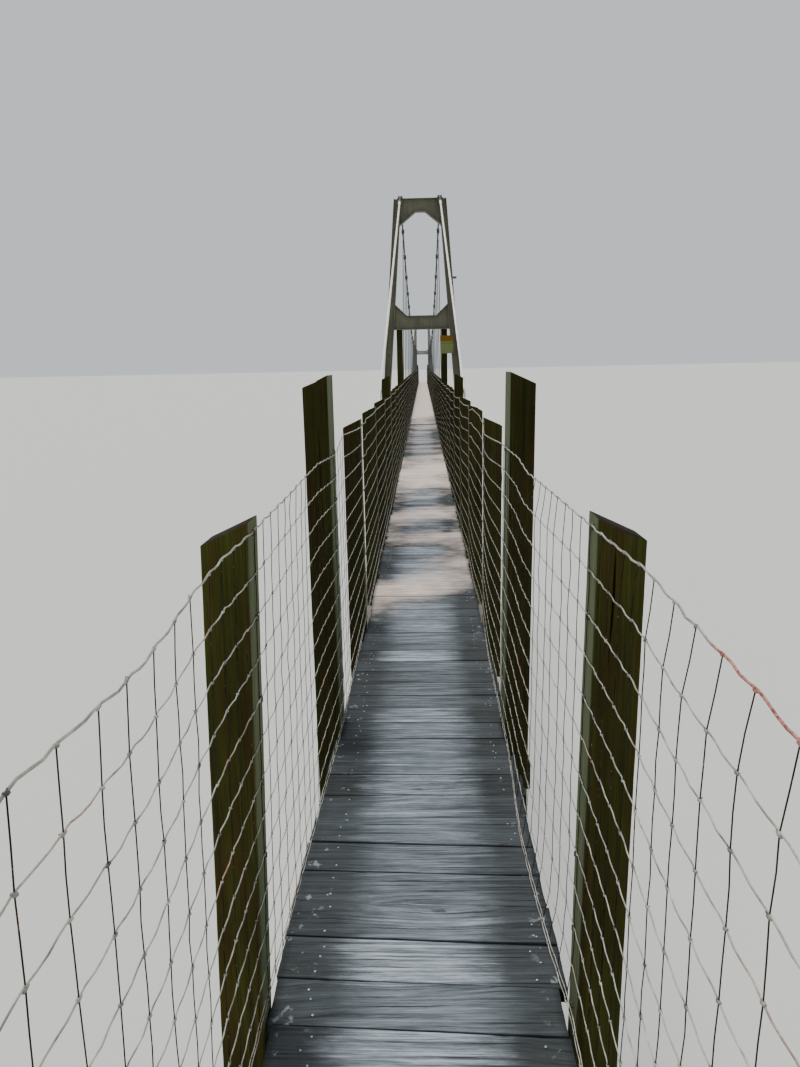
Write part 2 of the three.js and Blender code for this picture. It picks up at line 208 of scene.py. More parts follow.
def piece(shape, name, finish, slot, *replaced, sharp=38):
    """Makes the mesh of a shape into a named piece with its finish, riding on the bridge."""
    mesh = bpy.data.meshes.new(name)
    points = np.concatenate(shape.points) * MM
    corners = np.concatenate(shape.corners)
    sizes = np.concatenate(shape.sizes)
    mesh.vertices.add(len(points))
    mesh.vertices.foreach_set("co", points.ravel())
    mesh.loops.add(len(corners))
    mesh.loops.foreach_set("vertex_index", corners)
    mesh.polygons.add(len(sizes))
    mesh.polygons.foreach_set("loop_start", np.cumsum(sizes) - sizes)
    mesh.update(calc_edges=True)
    for label, values in (("tone", shape.tones), ("wear", shape.wears)):
        marks = mesh.attributes.new(label, "FLOAT", "POINT")
        marks.data.foreach_set("value", np.concatenate(values))
    mesh.shade_smooth()
    mesh.set_sharp_from_angle(angle=math.radians(sharp))
    mesh.materials.append(finish)
    thing = bpy.data.objects.new(name, mesh)
    bpy.context.collection.objects.link(thing)
    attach(thing, "root")
    if replaced:
        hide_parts(*replaced)
    return thing


# Finishes


def paint(hex_code):
    """An sRGB hex colour as linear RGBA."""
    channels = [int(hex_code[i : i + 2], 16) / 255 for i in (0, 2, 4)]
    return [c / 12.92 if c <= 0.04045 else ((c + 0.055) / 1.055) ** 2.4 for c in channels] + [1.0]


def fill(tree, node, inputs):
    """Sets a node's inputs, given by name or as a list in their order. Each is a number, a colour, a socket,
    or a node, of which the first live output counts."""
    live = [socket for socket in node.inputs if socket.enabled]
    for key, value in inputs.items() if isinstance(inputs, dict) else enumerate(inputs):
        socket = live[key] if isinstance(key, int) else next(s for s in live if s.name == key)
        if isinstance(value, bpy.types.Node):
            value = next(s for s in value.outputs if s.enabled)
        if isinstance(value, bpy.types.NodeSocket):
            tree.links.new(value, socket)
        else:
            socket.default_value = value


def put(tree, kind, inputs=(), **settings):
    """Adds one shader node with its settings and links."""
    node = tree.nodes.new("ShaderNode" + kind)
    for key, value in settings.items():
        setattr(node, key, value)
    fill(tree, node, inputs)
    return node


def finish(name, roughness=0.8, metallic=0.0, specular=0.5):
    """A new material: its tree, its shader and the place of each point in the model."""
    material = bpy.data.materials.new(name)
    material.use_nodes = True
    tree = material.node_tree
    shader = tree.nodes["Principled BSDF"]
    fill(tree, shader, {"Roughness": roughness, "Metallic": metallic, "Specular IOR Level": specular})
    place = put(tree, "TexCoord").outputs["Object"]
    return material, tree, shader, place


def grain_mm(*lengths):
    """The scale of a Mapping node that gives a pattern grains of these millimetres: one length, or three."""
    return [1 / (mm * MM) for mm in (lengths * 3 if len(lengths) == 1 else lengths)]


def grey(value):
    """A factor that darkens a colour, or above 1 brightens it."""
    return [value, value, value, 1.0]


# How much painted sunlight, or below 0 painted shade, the boards get along the walkway: each change comes in
# between two places, and the last one paints the middle of the main span and all that is beyond it warm and
# pale, for sunlight and bleaching both
SUN_AND_SHADE_STEPS = (
    (-30900, -30300, -0.4), (-29000, -28200, 0.2), (-26500, -25200, 0.5), (-24500, -22500, -0.6),
    (-12500, -10000, 1.25),
)


def weathered_decking():
    """Bare softwood boards, sawn, then silvered by rain and wear. The eye gets grey wood with fine
    streaks along each board, a tone of its own for each board, dark splits and a paler middle, partly trodden
    and partly a painted sheen of the sky. Warm pale patches along the walkway are painted sunlight, and the
    boards of the main span are painted a warm pale grey, for sunlight and bleaching both."""
    material, tree, shader, place = finish("weathered_softwood_decking", 0.78, specular=0.35)
    tone = put(tree, "Attribute", attribute_name="tone").outputs["Fac"]
    wear = put(tree, "Attribute", attribute_name="wear").outputs["Fac"]
    shift = put(tree, "Math", [tone, 40.0], operation="MULTIPLY")
    spot = put(tree, "SeparateXYZ", {"Vector": place})
    x, y, z = (spot.outputs[axis] for axis in "XYZ")
    # a second number of the board's own: how trodden it is
    chance = put(tree, "Math", [
        put(tree, "Math", [tone, TREAD_DIGITS], operation="MULTIPLY"), 1.0,
    ], operation="MODULO")
    # a knot as big as a coin on one board out of three, and the grain flows round it
    apart = put(tree, "CombineXYZ", {
        "X": put(tree, "Math", [shift, 3.0], operation="MULTIPLY"),
        "Y": put(tree, "Math", [shift, 7.0], operation="MULTIPLY"),
    })
    cells = put(tree, "Mapping", {"Vector": place, "Scale": [1 / (950 * MM), 1 / (380 * MM), 1.0]})
    cells = put(tree, "VectorMath", [cells, apart], operation="ADD")
    knot = put(tree, "TexVoronoi", {"Vector": cells, "Scale": 1.0}, voronoi_dimensions="2D")
    ragged = put(tree, "TexNoise", {
        "Vector": put(tree, "Mapping", {"Vector": place, "Scale": grain_mm(14)}), "W": shift, "Scale": 1.0,
        "Detail": 3.0, "Roughness": 0.6,
    }, noise_dimensions="4D")
    ragged = put(tree, "Math", [ragged, 0.5], operation="SUBTRACT")
    knot = put(tree, "Math", [
        knot, put(tree, "Math", [ragged, 0.07], operation="MULTIPLY"),
    ], operation="ADD")
    flow = put(tree, "Math", [y, put(tree, "MapRange", [knot, 0.02, 0.34, 30 * MM, 0.0])], operation="ADD")
    flow = put(tree, "CombineXYZ", {"X": x, "Y": flow, "Z": z})
    # growth rings cut along the board stand 3 to 6 mm apart, and the wood fibres are 1.5 mm thick; both
    # are drawn a little coarser, so that they show from eye height
    rings, bands, fibres, patches, cracks = (
        put(tree, "TexNoise", {
            "Vector": put(tree, "Mapping", {"Vector": flow, "Scale": grain_mm(length, width, width)}),
            "W": shift, "Scale": 1.0, "Detail": detail, "Roughness": rough,
        }, noise_dimensions="4D")
        for length, width, detail, rough in (
            (360, 8, 4.0, 0.7), (600, 24, 3.0, 0.55), (60, 2.6, 3.0, 0.6), (230, 90, 5.0, 0.7),
            (420, 8, 2.0, 0.5),
        )
    )
    streaks = put(tree, "Math", [
        put(tree, "Math", [rings, 0.6], operation="MULTIPLY"),
        put(tree, "Math", [bands, 0.2], operation="MULTIPLY"),
    ], operation="ADD")
    streaks = put(tree, "Math", [
        streaks, put(tree, "Math", [fibres, 0.2], operation="MULTIPLY"),
    ], operation="ADD")
    grain = put(tree, "MapRange", [streaks, 0.4, 0.6])
    wood = put(tree, "Mix", [grain, paint("2b2f31"), paint("565d61")], data_type="RGBA")
    # each board has weathered by itself
    wood = put(tree, "Mix", [
        1.0, wood, put(tree, "Mix", [tone, paint("b4b1ae"), paint("fdffff")], data_type="RGBA"),
    ], data_type="RGBA", blend_type="MULTIPLY")
    # damp, green-black patches as wide as a hand
    wood = put(tree, "Mix", [
        put(tree, "MapRange", [patches, 0.5, 0.72, 0.0, 0.55]), wood, paint("252725"),
    ], data_type="RGBA")
    # the middle of the walkway is paler, more on some boards than on others: partly worn, partly a painted
    # sheen of the sky
    scuffs = put(tree, "TexNoise", {
        "Vector": put(tree, "Mapping", {"Vector": flow, "Scale": grain_mm(240, 34, 34)}),
        "W": put(tree, "Math", [tone, 17.0], operation="MULTIPLY"), "Scale": 1.0, "Detail": 6.0,
        "Roughness": 0.75,
    }, noise_dimensions="4D")
    scuffs = put(tree, "Math", [scuffs, 0.5], operation="SUBTRACT")
    rim = put(tree, "TexNoise", {
        "Vector": put(tree, "Mapping", {"Vector": place, "Scale": grain_mm(150, 45, 45)}),
        "W": put(tree, "Math", [tone, 31.0], operation="MULTIPLY"), "Scale": 1.0, "Detail": 5.0,
        "Roughness": 0.7,
    }, noise_dimensions="4D")
    rim = put(tree, "Math", [
        put(tree, "Math", [rim, 0.5], operation="SUBTRACT"), 200 * MM,
    ], operation="MULTIPLY")
    rim = put(tree, "Math", [
        put(tree, "Math", [x, rim], operation="ADD"),
        put(tree, "Math", [chance, 60 * MM], operation="MULTIPLY"),
    ], operation="ADD")
    rim = put(tree, "Math", [rim, 15 * MM], operation="SUBTRACT")
    middle = put(tree, "MapRange", [
        put(tree, "Math", [rim, rim], operation="MULTIPLY"), 0.0, (282 * MM) ** 2, 1.0, 0.0,
    ], interpolation_type="SMOOTHSTEP")
    middle = put(tree, "Math", [middle, 1.5], operation="POWER")
    lit = put(tree, "Math", [
        put(tree, "Math", [streaks, 0.5], operation="SUBTRACT"), 3.0,
    ], operation="MULTIPLY")
    amount = put(tree, "Math", [
        put(tree, "Math", [scuffs, 2.0], operation="MULTIPLY"), lit,
    ], operation="ADD")
    amount = put(tree, "Math", [
        amount, put(tree, "Math", [chance, 1.25], operation="MULTIPLY"),
    ], operation="ADD")
    pale = put(tree, "Math", [
        middle, put(tree, "MapRange", [amount, -0.1, 1.25, 0.1, 1.0]),
    ], operation="MULTIPLY")
    # the blue-grey of the pale middle is partly trodden wood and partly a painted sky reflection
    silver = put(tree, "Mix", [grain, paint("5b666e"), paint("a1acb7")], data_type="RGBA")
    wood = put(tree, "Mix", [pale, wood, silver], data_type="RGBA")
    # here and there the fibres are rubbed almost white
    rubbed = put(tree, "Math", [
        middle, put(tree, "MapRange", [amount, 0.85, 1.45, 0.0, 0.95]),
    ], operation="MULTIPLY")
    wood = put(tree, "Mix", [
        put(tree, "Math", [rubbed, grain], operation="MULTIPLY"), wood, paint("c2cad1"),
    ], data_type="RGBA")
    # pale lichen near the board ends
    lichen = put(tree, "TexNoise", {
        "Vector": put(tree, "Mapping", {"Vector": place, "Scale": grain_mm(42)}), "W": shift, "Scale": 1.0,
        "Detail": 4.0, "Roughness": 0.6,
    }, noise_dimensions="4D")
    ends = put(tree, "MapRange", [
        put(tree, "Math", [x, x], operation="MULTIPLY"), (285 * MM) ** 2, (345 * MM) ** 2,
    ])
    lichen = put(tree, "Math", [
        put(tree, "MapRange", [lichen, 0.61, 0.66, 0.0, 0.7]), ends,
    ], operation="MULTIPLY")
    wood = put(tree, "Mix", [lichen, wood, paint("9aa1a1")], data_type="RGBA")
    # painted sunlight: warm pale patches a metre long with slanted shadow edges, more of them in places, and
    # all over the middle of the span, where it stands for sunlight and bleaching both
    sun_flecks = put(tree, "TexNoise", {
        "Vector": put(tree, "Mapping", {"Vector": place, "Scale": grain_mm(1100, 900, 1100)}), "W": 9.0,
        "Scale": 1.0, "Detail": 5.0, "Roughness": 0.62,
    }, noise_dimensions="4D")
    slant = put(tree, "Math", [y, put(tree, "Math", [x, 1.2], operation="MULTIPLY")], operation="SUBTRACT")
    painted_sunlight = put(tree, "MapRange", [slant, (SEVENTH_POST - 50) * MM, (SEVENTH_POST + 750) * MM, -0.75, 0.25])
    for low, high, change in SUN_AND_SHADE_STEPS:
        painted_sunlight = put(tree, "Math", [
            painted_sunlight, put(tree, "MapRange", [slant, low * MM, high * MM, 0.0, change]),
        ], operation="ADD")
    sun_flecks = put(tree, "Math", [
        put(tree, "Math", [sun_flecks, 0.5], operation="SUBTRACT"), 3.2,
    ], operation="MULTIPLY")
    painted_sunlight = put(tree, "Math", [painted_sunlight, sun_flecks], operation="ADD")
    painted_sunlight = put(tree, "MapRange", [painted_sunlight, -0.2, 0.6, 0.0, 0.96])
    wood = put(tree, "Mix", [
        painted_sunlight, wood, put(tree, "Mix", [grain, paint("dcc4b8"), paint("fff0e4")], data_type="RGBA"),
    ], data_type="RGBA")
    # knots are brown-black, and splits 1 to 2 mm wide run with the grain
    wood = put(tree, "Mix", [
        put(tree, "MapRange", [knot, 0.008, 0.03, 0.65, 0.0]), wood, paint("1d1b19"),
    ], data_type="RGBA")
    splits = put(tree, "MapRange", [cracks, 0.31, 0.345, 1.0, 0.0])
    wood = put(tree, "Mix", [
        put(tree, "Math", [splits, 0.75], operation="MULTIPLY"), wood, paint("17181a"),
    ], data_type="RGBA")
    # the sides, ends and undersides of the boards are painted nearly black: painted shade in the gaps and
    # below the boards
    wood = put(tree, "Mix", [
        put(tree, "MapRange", [wear, 0.0, 1.0, 0.0, 0.88]), wood, paint("161716"),
    ], data_type="RGBA")
    height = put(tree, "Math", [
        streaks, put(tree, "Math", [splits, 1.2], operation="MULTIPLY"),
    ], operation="SUBTRACT")
    bump = put(tree, "Bump", {"Strength": 0.6, "Distance": 2 * MM, "Height": height})
    roughness = put(tree, "MapRange", [pale, 0.0, 0.9, 0.86, 0.6])
    fill(tree, shader, {"Base Color": wood, "Normal": bump, "Roughness": roughness})
    return material


def old_timber(name, grain, dark, light, stain, bleached_and_sunlit, cut):
    """Rough-sawn timber that stands outdoors. Grain gives the run of the fibres, 'x', 'y' or 'z'. Wear
    above 0 marks the walkway face, painted paler for both sun bleaching and painted sunlight, and below 0 an
    end cut across the grain."""
    material, tree, shader, place = finish(name, 0.9, specular=0.12)
    tone = put(tree, "Attribute", attribute_name="tone").outputs["Fac"]
    wear = put(tree, "Attribute", attribute_name="wear").outputs["Fac"]
    shift = put(tree, "Math", [tone, 60.0], operation="MULTIPLY")

    def along(length, width):
        """The scale of a pattern that is as long as length down the fibres and as wide as width across."""
        return grain_mm(*(length if axis == grain else width for axis in "xyz"))

    # growth rings about 7 mm apart that run as far as an arm, fibres 3 mm, rain runs 34 mm and drying checks
    rings, bands, fibres, runs, blotches, checks = (
        put(tree, "TexNoise", {
            "Vector": put(tree, "Mapping", {"Vector": place, "Scale": along(length, width)}),
            "W": shift, "Scale": 1.0, "Detail": detail, "Roughness": rough,
        }, noise_dimensions="4D")
        for length, width, detail, rough in (
            (800, 7, 4.0, 0.6), (1200, 24, 3.0, 0.55), (90, 2.8, 3.0, 0.6), (420, 34, 5.0, 0.65),
            (420, 160, 4.0, 0.6), (900, 10, 2.0, 0.5),
        )
    )
    streaks = put(tree, "Math", [
        put(tree, "Math", [rings, 0.45], operation="MULTIPLY"),
        put(tree, "Math", [bands, 0.3], operation="MULTIPLY"),
    ], operation="ADD")
    streaks = put(tree, "Math", [
        streaks, put(tree, "Math", [fibres, 0.25], operation="MULTIPLY"),
    ], operation="ADD")
    wood = put(tree, "Mix", [
        put(tree, "MapRange", [streaks, 0.34, 0.66]), paint(dark), paint(light),
    ], data_type="RGBA")
    wood = put(tree, "Mix", [
        put(tree, "MapRange", [runs, 0.46, 0.68, 0.0, 0.7]), wood, paint(stain),
    ], data_type="RGBA")
    blotches = put(tree, "Mix", [
        put(tree, "MapRange", [blotches, 0.35, 0.65]), grey(0.72), grey(1.3),
    ], data_type="RGBA")
    wood = put(tree, "Mix", [1.0, wood, blotches], data_type="RGBA", blend_type="MULTIPLY")
    wood = put(tree, "Mix", [
        1.0, wood, put(tree, "Mix", [tone, grey(0.55), grey(1.5)], data_type="RGBA"),
    ], data_type="RGBA", blend_type="MULTIPLY")
    # the walkway face: sun bleaching and painted sunlight both make it paler
    silver = put(tree, "Mix", [
        put(tree, "MapRange", [streaks, 0.38, 0.62]), grey(0.62), grey(1.25),
    ], data_type="RGBA")
    silver = put(tree, "Mix", [1.0, paint(bleached_and_sunlit), silver], data_type="RGBA", blend_type="MULTIPLY")
    wood = put(tree, "Mix", [
        put(tree, "MapRange", [wear, 0.0, 1.0, 0.0, 0.85]), wood, silver,
    ], data_type="RGBA")
    wood = put(tree, "Mix", [
        put(tree, "MapRange", [wear, -1.0, 0.0, 0.9, 0.0]), wood, paint(cut),
    ], data_type="RGBA")
    # drying checks follow the fibres, 2 mm wide and as long as a forearm
    checks = put(tree, "MapRange", [checks, 0.27, 0.305, 1.0, 0.0])
    wood = put(tree, "Mix", [
        put(tree, "Math", [checks, 0.8], operation="MULTIPLY"), wood, paint("0e0d08"),
    ], data_type="RGBA")
    height = put(tree, "Math", [streaks, checks], operation="SUBTRACT")
    bump = put(tree, "Bump", {"Strength": 0.6, "Distance": 2 * MM, "Height": height})
    fill(tree, shader, {"Base Color": wood, "Normal": bump})
    return material


def zinc_wire(name, dull, bright, metal, rough=0.5):
    """Hot-dip galvanised steel wire, drawn and crimped, and many years old. The eye gets grey zinc with
    darker bloom, and pinkish-brown rust where wear marks that the zinc is gone."""
    material, tree, shader, place = finish(name, rough, metal, specular=0.5 * metal)
    wear = put(tree, "Attribute", attribute_name="wear").outputs["Fac"]
    # zinc bloom in patches of 40 mm, rust specks of 8 mm
    bloom = put(tree, "TexNoise", {
        "Vector": put(tree, "Mapping", {"Vector": place, "Scale": grain_mm(40)}), "W": 1.0, "Scale": 1.0,
        "Detail": 4.0, "Roughness": 0.6,
    }, noise_dimensions="4D")
    bloom = put(tree, "MapRange", [bloom, 0.35, 0.65])
    steel = put(tree, "Mix", [bloom, paint(dull), paint(bright)], data_type="RGBA")
    specks = put(tree, "TexNoise", {
        "Vector": put(tree, "Mapping", {"Vector": place, "Scale": grain_mm(8)}), "W": 2.0, "Scale": 1.0,
        "Detail": 3.0, "Roughness": 0.6,
    }, noise_dimensions="4D")
    specks = put(tree, "MapRange", [specks, 0.62, 0.70, 0.0, 0.5])
    rust = put(tree, "Math", [specks, wear], operation="MAXIMUM")
    tint = put(tree, "TexNoise", {
        "Vector": put(tree, "Mapping", {"Vector": place, "Scale": grain_mm(5)}), "W": 3.0, "Scale": 1.0,
        "Detail": 3.0, "Roughness": 0.6,
    }, noise_dimensions="4D")
    tint = put(tree, "Mix", [
        put(tree, "MapRange", [tint, 0.4, 0.6]), paint("8a554a"), paint("d69a8e"),
    ], data_type="RGBA")
    steel = put(tree, "Mix", [rust, steel, tint], data_type="RGBA")
    roughness = put(tree, "MapRange", [rust, 0.0, 1.0, rough, 0.85])
    fill(tree, shader, {"Base Color": steel, "Roughness": roughness})
    return material


def strand_steel(name, bright, grimy, metal, rough):
    """Galvanised wire strand, laid from drawn wires. The eye gets one clean line with a soft highlight,
    darker valleys between the wires and a film of dirt."""
    material, tree, shader, place = finish(name, rough, metal)
    # dirt in patches of 150 mm, and painted shade where wear marks it, at the backstay's end below the
    # saddle; single wires 3 mm thick
    dirt = put(tree, "TexNoise", {
        "Vector": put(tree, "Mapping", {"Vector": place, "Scale": grain_mm(150)}), "W": 1.0, "Scale": 1.0,
        "Detail": 4.0, "Roughness": 0.6,
    }, noise_dimensions="4D")
    dirt = put(tree, "MapRange", [dirt, 0.5, 0.75, 0.0, 0.6])
    steel = put(tree, "Mix", [dirt, paint(bright), paint(grimy)], data_type="RGBA")
    steel = put(tree, "Mix", [
        put(tree, "Attribute", attribute_name="wear").outputs["Fac"], steel, paint("3a3a33"),
    ], data_type="RGBA")
    wires = put(tree, "TexNoise", {
        "Vector": put(tree, "Mapping", {"Vector": place, "Scale": grain_mm(3, 30, 3)}), "W": 4.0,
        "Scale": 1.0, "Detail": 2.0, "Roughness": 0.5,
    }, noise_dimensions="4D")
    bump = put(tree, "Bump", {"Strength": 0.3, "Distance": 1 * MM, "Height": wires})
    fill(tree, shader, {"Base Color": steel, "Normal": bump})
    return material


def zinc_hardware(name, bright, dull, rusty):
    """Forged and galvanised fixings: bolts, clips, nails and sockets. The eye gets mottled zinc with a
    brown bloom that grows as the rust share does."""
    material, tree, shader, place = finish(name, 0.5, 0.7)
    # zinc spangle of 6 mm and rust blooms of 14 mm
    spangle = put(tree, "TexNoise", {
        "Vector": put(tree, "Mapping", {"Vector": place, "Scale": grain_mm(6)}), "W": 1.0, "Scale": 1.0,
        "Detail": 3.0, "Roughness": 0.6,
    }, noise_dimensions="4D")
    spangle = put(tree, "MapRange", [spangle, 0.35, 0.65])
    metal = put(tree, "Mix", [spangle, paint(dull), paint(bright)], data_type="RGBA")
    bloom = put(tree, "TexNoise", {
        "Vector": put(tree, "Mapping", {"Vector": place, "Scale": grain_mm(14)}), "W": 5.0, "Scale": 1.0,
        "Detail": 4.0, "Roughness": 0.65,
    }, noise_dimensions="4D")
    bloom = put(tree, "MapRange", [bloom, 0.62 - 0.3 * rusty, 0.74 - 0.3 * rusty])
    metal = put(tree, "Mix", [
        put(tree, "Math", [bloom, 0.8], operation="MULTIPLY"), metal, paint("5d3c26"),
    ], data_type="RGBA")
    roughness = put(tree, "MapRange", [bloom, 0.0, 1.0, 0.45, 0.9])
    fill(tree, shader, {"Base Color": metal, "Roughness": roughness})
    return material


def tower_paint(name, shaded, open_air, faded):
    """Rolled steel plates and sections under old brushed olive-drab paint. The eye gets a matt grey-olive
    with faint chalky runs down the steel, dark dirt and small rust breaks at the edges of chips."""
    material, tree, shader, place = finish(name, 0.6, specular=0.4)
    # dirt clouds 400 mm, chalk runs 60 mm wide and a metre long, chips 26 mm, brush marks 3 mm
    clouds, chalk, dirt, chips, brush = (
        put(tree, "TexNoise", {
            "Vector": put(tree, "Mapping", {"Vector": place, "Scale": grain_mm(width, width, height)}),
            "W": shift, "Scale": 1.0, "Detail": detail, "Roughness": rough,
        }, noise_dimensions="4D")
        for width, height, shift, detail, rough in (
            (400, 400, 1.0, 4.0, 0.55), (60, 1100, 2.0, 3.0, 0.55), (110, 600, 3.0, 3.0, 0.6),
            (26, 26, 4.0, 4.0, 0.65), (3, 60, 5.0, 3.0, 0.5),
        )
    )
    chalk = put(tree, "MapRange", [chalk, 0.52, 0.75, 0.0, 0.35])
    chips = put(tree, "MapRange", [chips, 0.69, 0.71])
    coat = put(tree, "Mix", [
        put(tree, "MapRange", [clouds, 0.3, 0.7]), paint(shaded), paint(open_air),
    ], data_type="RGBA")
    coat = put(tree, "Mix", [chalk, coat, paint(faded)], data_type="RGBA")
    coat = put(tree, "Mix", [
        put(tree, "MapRange", [dirt, 0.54, 0.74, 0.0, 0.4]), coat, paint("2f2f27"),
    ], data_type="RGBA")
    coat = put(tree, "Mix", [chips, coat, paint("50301f")], data_type="RGBA")
    height = put(tree, "Math", [
        brush, put(tree, "Math", [chips, 1.5], operation="MULTIPLY"),
    ], operation="SUBTRACT")
    bump = put(tree, "Bump", {"Strength": 0.25, "Distance": 1 * MM, "Height": height})
    roughness = put(tree, "MapRange", [chalk, 0.0, 0.35, 0.55, 0.8])
    fill(tree, shader, {"Base Color": coat, "Normal": bump, "Roughness": roughness})
    return material


def board_marked_concrete():
    """Site-cast concrete struck from sawn board forms, then rained on. The eye gets a warm grey with the
    boards' level lines, blow holes and dark runs below each edge."""
    material, tree, shader, place = finish("board_marked_concrete", 0.9, specular=0.3)
    # form boards 150 mm high, clouds 420 mm, sand grain 3 mm, rain runs 70 mm wide, blow holes 12 mm wide
    # out of grains of 22 mm
    clouds, sand, runs, holes = (
        put(tree, "TexNoise", {
            "Vector": put(tree, "Mapping", {"Vector": place, "Scale": grain_mm(width, width, height)}),
            "W": shift, "Scale": 1.0, "Detail": detail, "Roughness": rough,
        }, noise_dimensions="4D")
        for width, height, shift, detail, rough in (
            (420, 420, 1.0, 5.0, 0.6), (3, 3, 2.0, 3.0, 0.7), (70, 900, 3.0, 4.0, 0.6),
            (22, 22, 4.0, 2.0, 0.5),
        )
    )
    z = put(tree, "SeparateXYZ", {"Vector": place}).outputs["Z"]
    course = put(tree, "Math", [z, 1 / (150 * MM)], operation="MULTIPLY")
    board = put(tree, "TexWhiteNoise", {
        "W": put(tree, "Math", [course], operation="FLOOR"),
    }, noise_dimensions="1D")
    joint = put(tree, "Math", [
        put(tree, "Math", [put(tree, "Math", [course], operation="FRACT"), 0.5], operation="SUBTRACT"),
    ], operation="ABSOLUTE")
    lines = put(tree, "MapRange", [joint, 0.47, 0.5])
    stone = put(tree, "Mix", [
        put(tree, "MapRange", [clouds, 0.35, 0.65]), paint("858175"), paint("aba596"),
    ], data_type="RGBA")
    stone = put(tree, "Mix", [
        1.0, stone, put(tree, "Mix", [board, grey(0.9), grey(1.08)], data_type="RGBA"),
    ], data_type="RGBA", blend_type="MULTIPLY")
    stone = put(tree, "Mix", [
        0.35, stone, put(tree, "Mix", [sand, grey(0.5), grey(1.3)], data_type="RGBA"),
    ], data_type="RGBA", blend_type="MULTIPLY")
    stone = put(tree, "Mix", [
        put(tree, "MapRange", [runs, 0.5, 0.72, 0.0, 0.6]), stone, paint("4e4c43"),
    ], data_type="RGBA")
    holes = put(tree, "MapRange", [holes, 0.70, 0.73])
    stone = put(tree, "Mix", [
        put(tree, "Math", [holes, 0.7], operation="MULTIPLY"), stone, paint("3c3a34"),
    ], data_type="RGBA")
    stone = put(tree, "Mix", [
        put(tree, "Math", [lines, 0.4], operation="MULTIPLY"), stone, paint("5b584e"),
    ], data_type="RGBA")
    relief = put(tree, "Math", [
        put(tree, "Math", [sand, 0.4], operation="MULTIPLY"),
        put(tree, "Math", [holes, lines], operation="ADD"),
    ], operation="SUBTRACT")
    bump = put(tree, "Bump", {"Strength": 0.6, "Distance": 4 * MM, "Height": relief})
    fill(tree, shader, {"Base Color": stone, "Normal": bump})
    return material


def sign_paint():
    """Aluminium sheet with two coats of sign enamel, faded. The eye gets an orange band above a grey-green
    field, with no lettering, chalky and streaked by rain; both colours are painted darker, as painted shade."""
    material, tree, shader, place = finish("faded_sign_enamel", 0.75, specular=0.15)
    z = put(tree, "SeparateXYZ", {"Vector": place}).outputs["Z"]
    above = put(tree, "Math", [z, DECK_TOP * MM], operation="SUBTRACT")
    band = put(tree, "MapRange", [above, 2047 * MM, 2050 * MM])
    # a rule of 14 mm stands below the band
    rule = put(tree, "Math", [
        put(tree, "Math", [above, 2012 * MM], operation="SUBTRACT"),
    ], operation="ABSOLUTE")
    band = put(tree, "Math", [
        band, put(tree, "MapRange", [rule, 6 * MM, 8 * MM, 0.75, 0.0]),
    ], operation="MAXIMUM")
    # the dark orange and the grey-green carry painted shade
    coat = put(tree, "Mix", [band, paint("6a7348"), paint("6b4a02")], data_type="RGBA")
    # rain streaks 12 mm wide, sun fading in clouds of 120 mm
    streaks = put(tree, "TexNoise", {
        "Vector": put(tree, "Mapping", {"Vector": place, "Scale": grain_mm(12, 12, 160)}), "W": 1.0,
        "Scale": 1.0, "Detail": 4.0, "Roughness": 0.6,
    }, noise_dimensions="4D")
    streaks = put(tree, "MapRange", [streaks, 0.5, 0.72, 0.0, 0.45])
    coat = put(tree, "Mix", [streaks, coat, paint("4f4d33")], data_type="RGBA")
    clouds = put(tree, "TexNoise", {
        "Vector": put(tree, "Mapping", {"Vector": place, "Scale": grain_mm(120)}), "W": 2.0, "Scale": 1.0,
        "Detail": 4.0, "Roughness": 0.6,
    }, noise_dimensions="4D")
    clouds = put(tree, "MapRange", [clouds, 0.4, 0.66, 0.0, 0.3])
    coat = put(tree, "Mix", [
        put(tree, "Math", [clouds, 0.5], operation="MULTIPLY"), coat, paint("857c50"),
    ], data_type="RGBA")
    fill(tree, shader, {"Base Color": coat})
    return material


DECKING = weathered_decking()
POSTS = old_timber("treated_pine_posts", "z", "1c1e09", "43441a", "39260f", "626a50", "1d150d")
CROSS_TIMBER = old_timber("rough_sawn_crossbeams", "x", "33301f", "655f47", "3a2c1a", "8a8572", "3a2d1c")
LONG_TIMBER = old_timber("rough_sawn_stringers", "y", "33301f", "655f47", "3a2c1a", "8a8572", "3a2d1c")
LINE_WIRE = zinc_wire("galvanised_line_wire", "73726a", "c3c1b5", 0.4)
# the wraps are painted darker than the line wires they hold: painted shade
WRAP_WIRE = zinc_wire("galvanised_wire_wraps", "4c4e4e", "b9bab0", 0.3)
# the stays are painted near black: a copy of the line wire in painted shade
SHADED_STAY_WIRE = zinc_wire("shade_painted_stay_wire", "1f1e15", "3a382b", 0.0, 0.8)
# lit and shaded copies of one galvanised strand: the backstays' is painted near white as sunlit, the main
# cables' and hangers' dark as painted shade
SUNLIT_STRAND = strand_steel("sunlit_galvanised_strand", "fbf8ee", "cdc9ba", 0.1, 0.5)
SHADED_STRAND = strand_steel("shade_painted_strand", "4c4f4e", "2f302d", 0.5, 0.6)
BOLTS = zinc_hardware("galvanised_bolts", "6b695e", "38362f", 0.35)
BRIGHT_FIXINGS = zinc_hardware("galvanised_sleeves", "ece9da", "b9b6a6", 0.0)
NAILS = zinc_hardware("galvanised_nails", "aab3b9", "737b80", 0.0)
TOWER_PAINT = tower_paint("olive_brushed_paint_on_steel", "4a4b3c", "666551", "8b8975")
# the far tower stands in full sun: its coat is painted a pale grey, as painted sunlight
SUNLIT_TOWER_PAINT = tower_paint("sunlit_olive_paint_on_steel", "7e8178", "9fa197", "b6b7ae")
CONCRETE = board_marked_concrete()
SIGN = sign_paint()


# Walkway boards


# The first boards of the near approach were laid a few degrees askew, but for those that butt on the tall
# posts: places along the walkway, and slopes
ASKEW = ([-END_Y, -36600, -34440, -34400, -30000], [0, 0.048, 0.048, 0.007, 0])
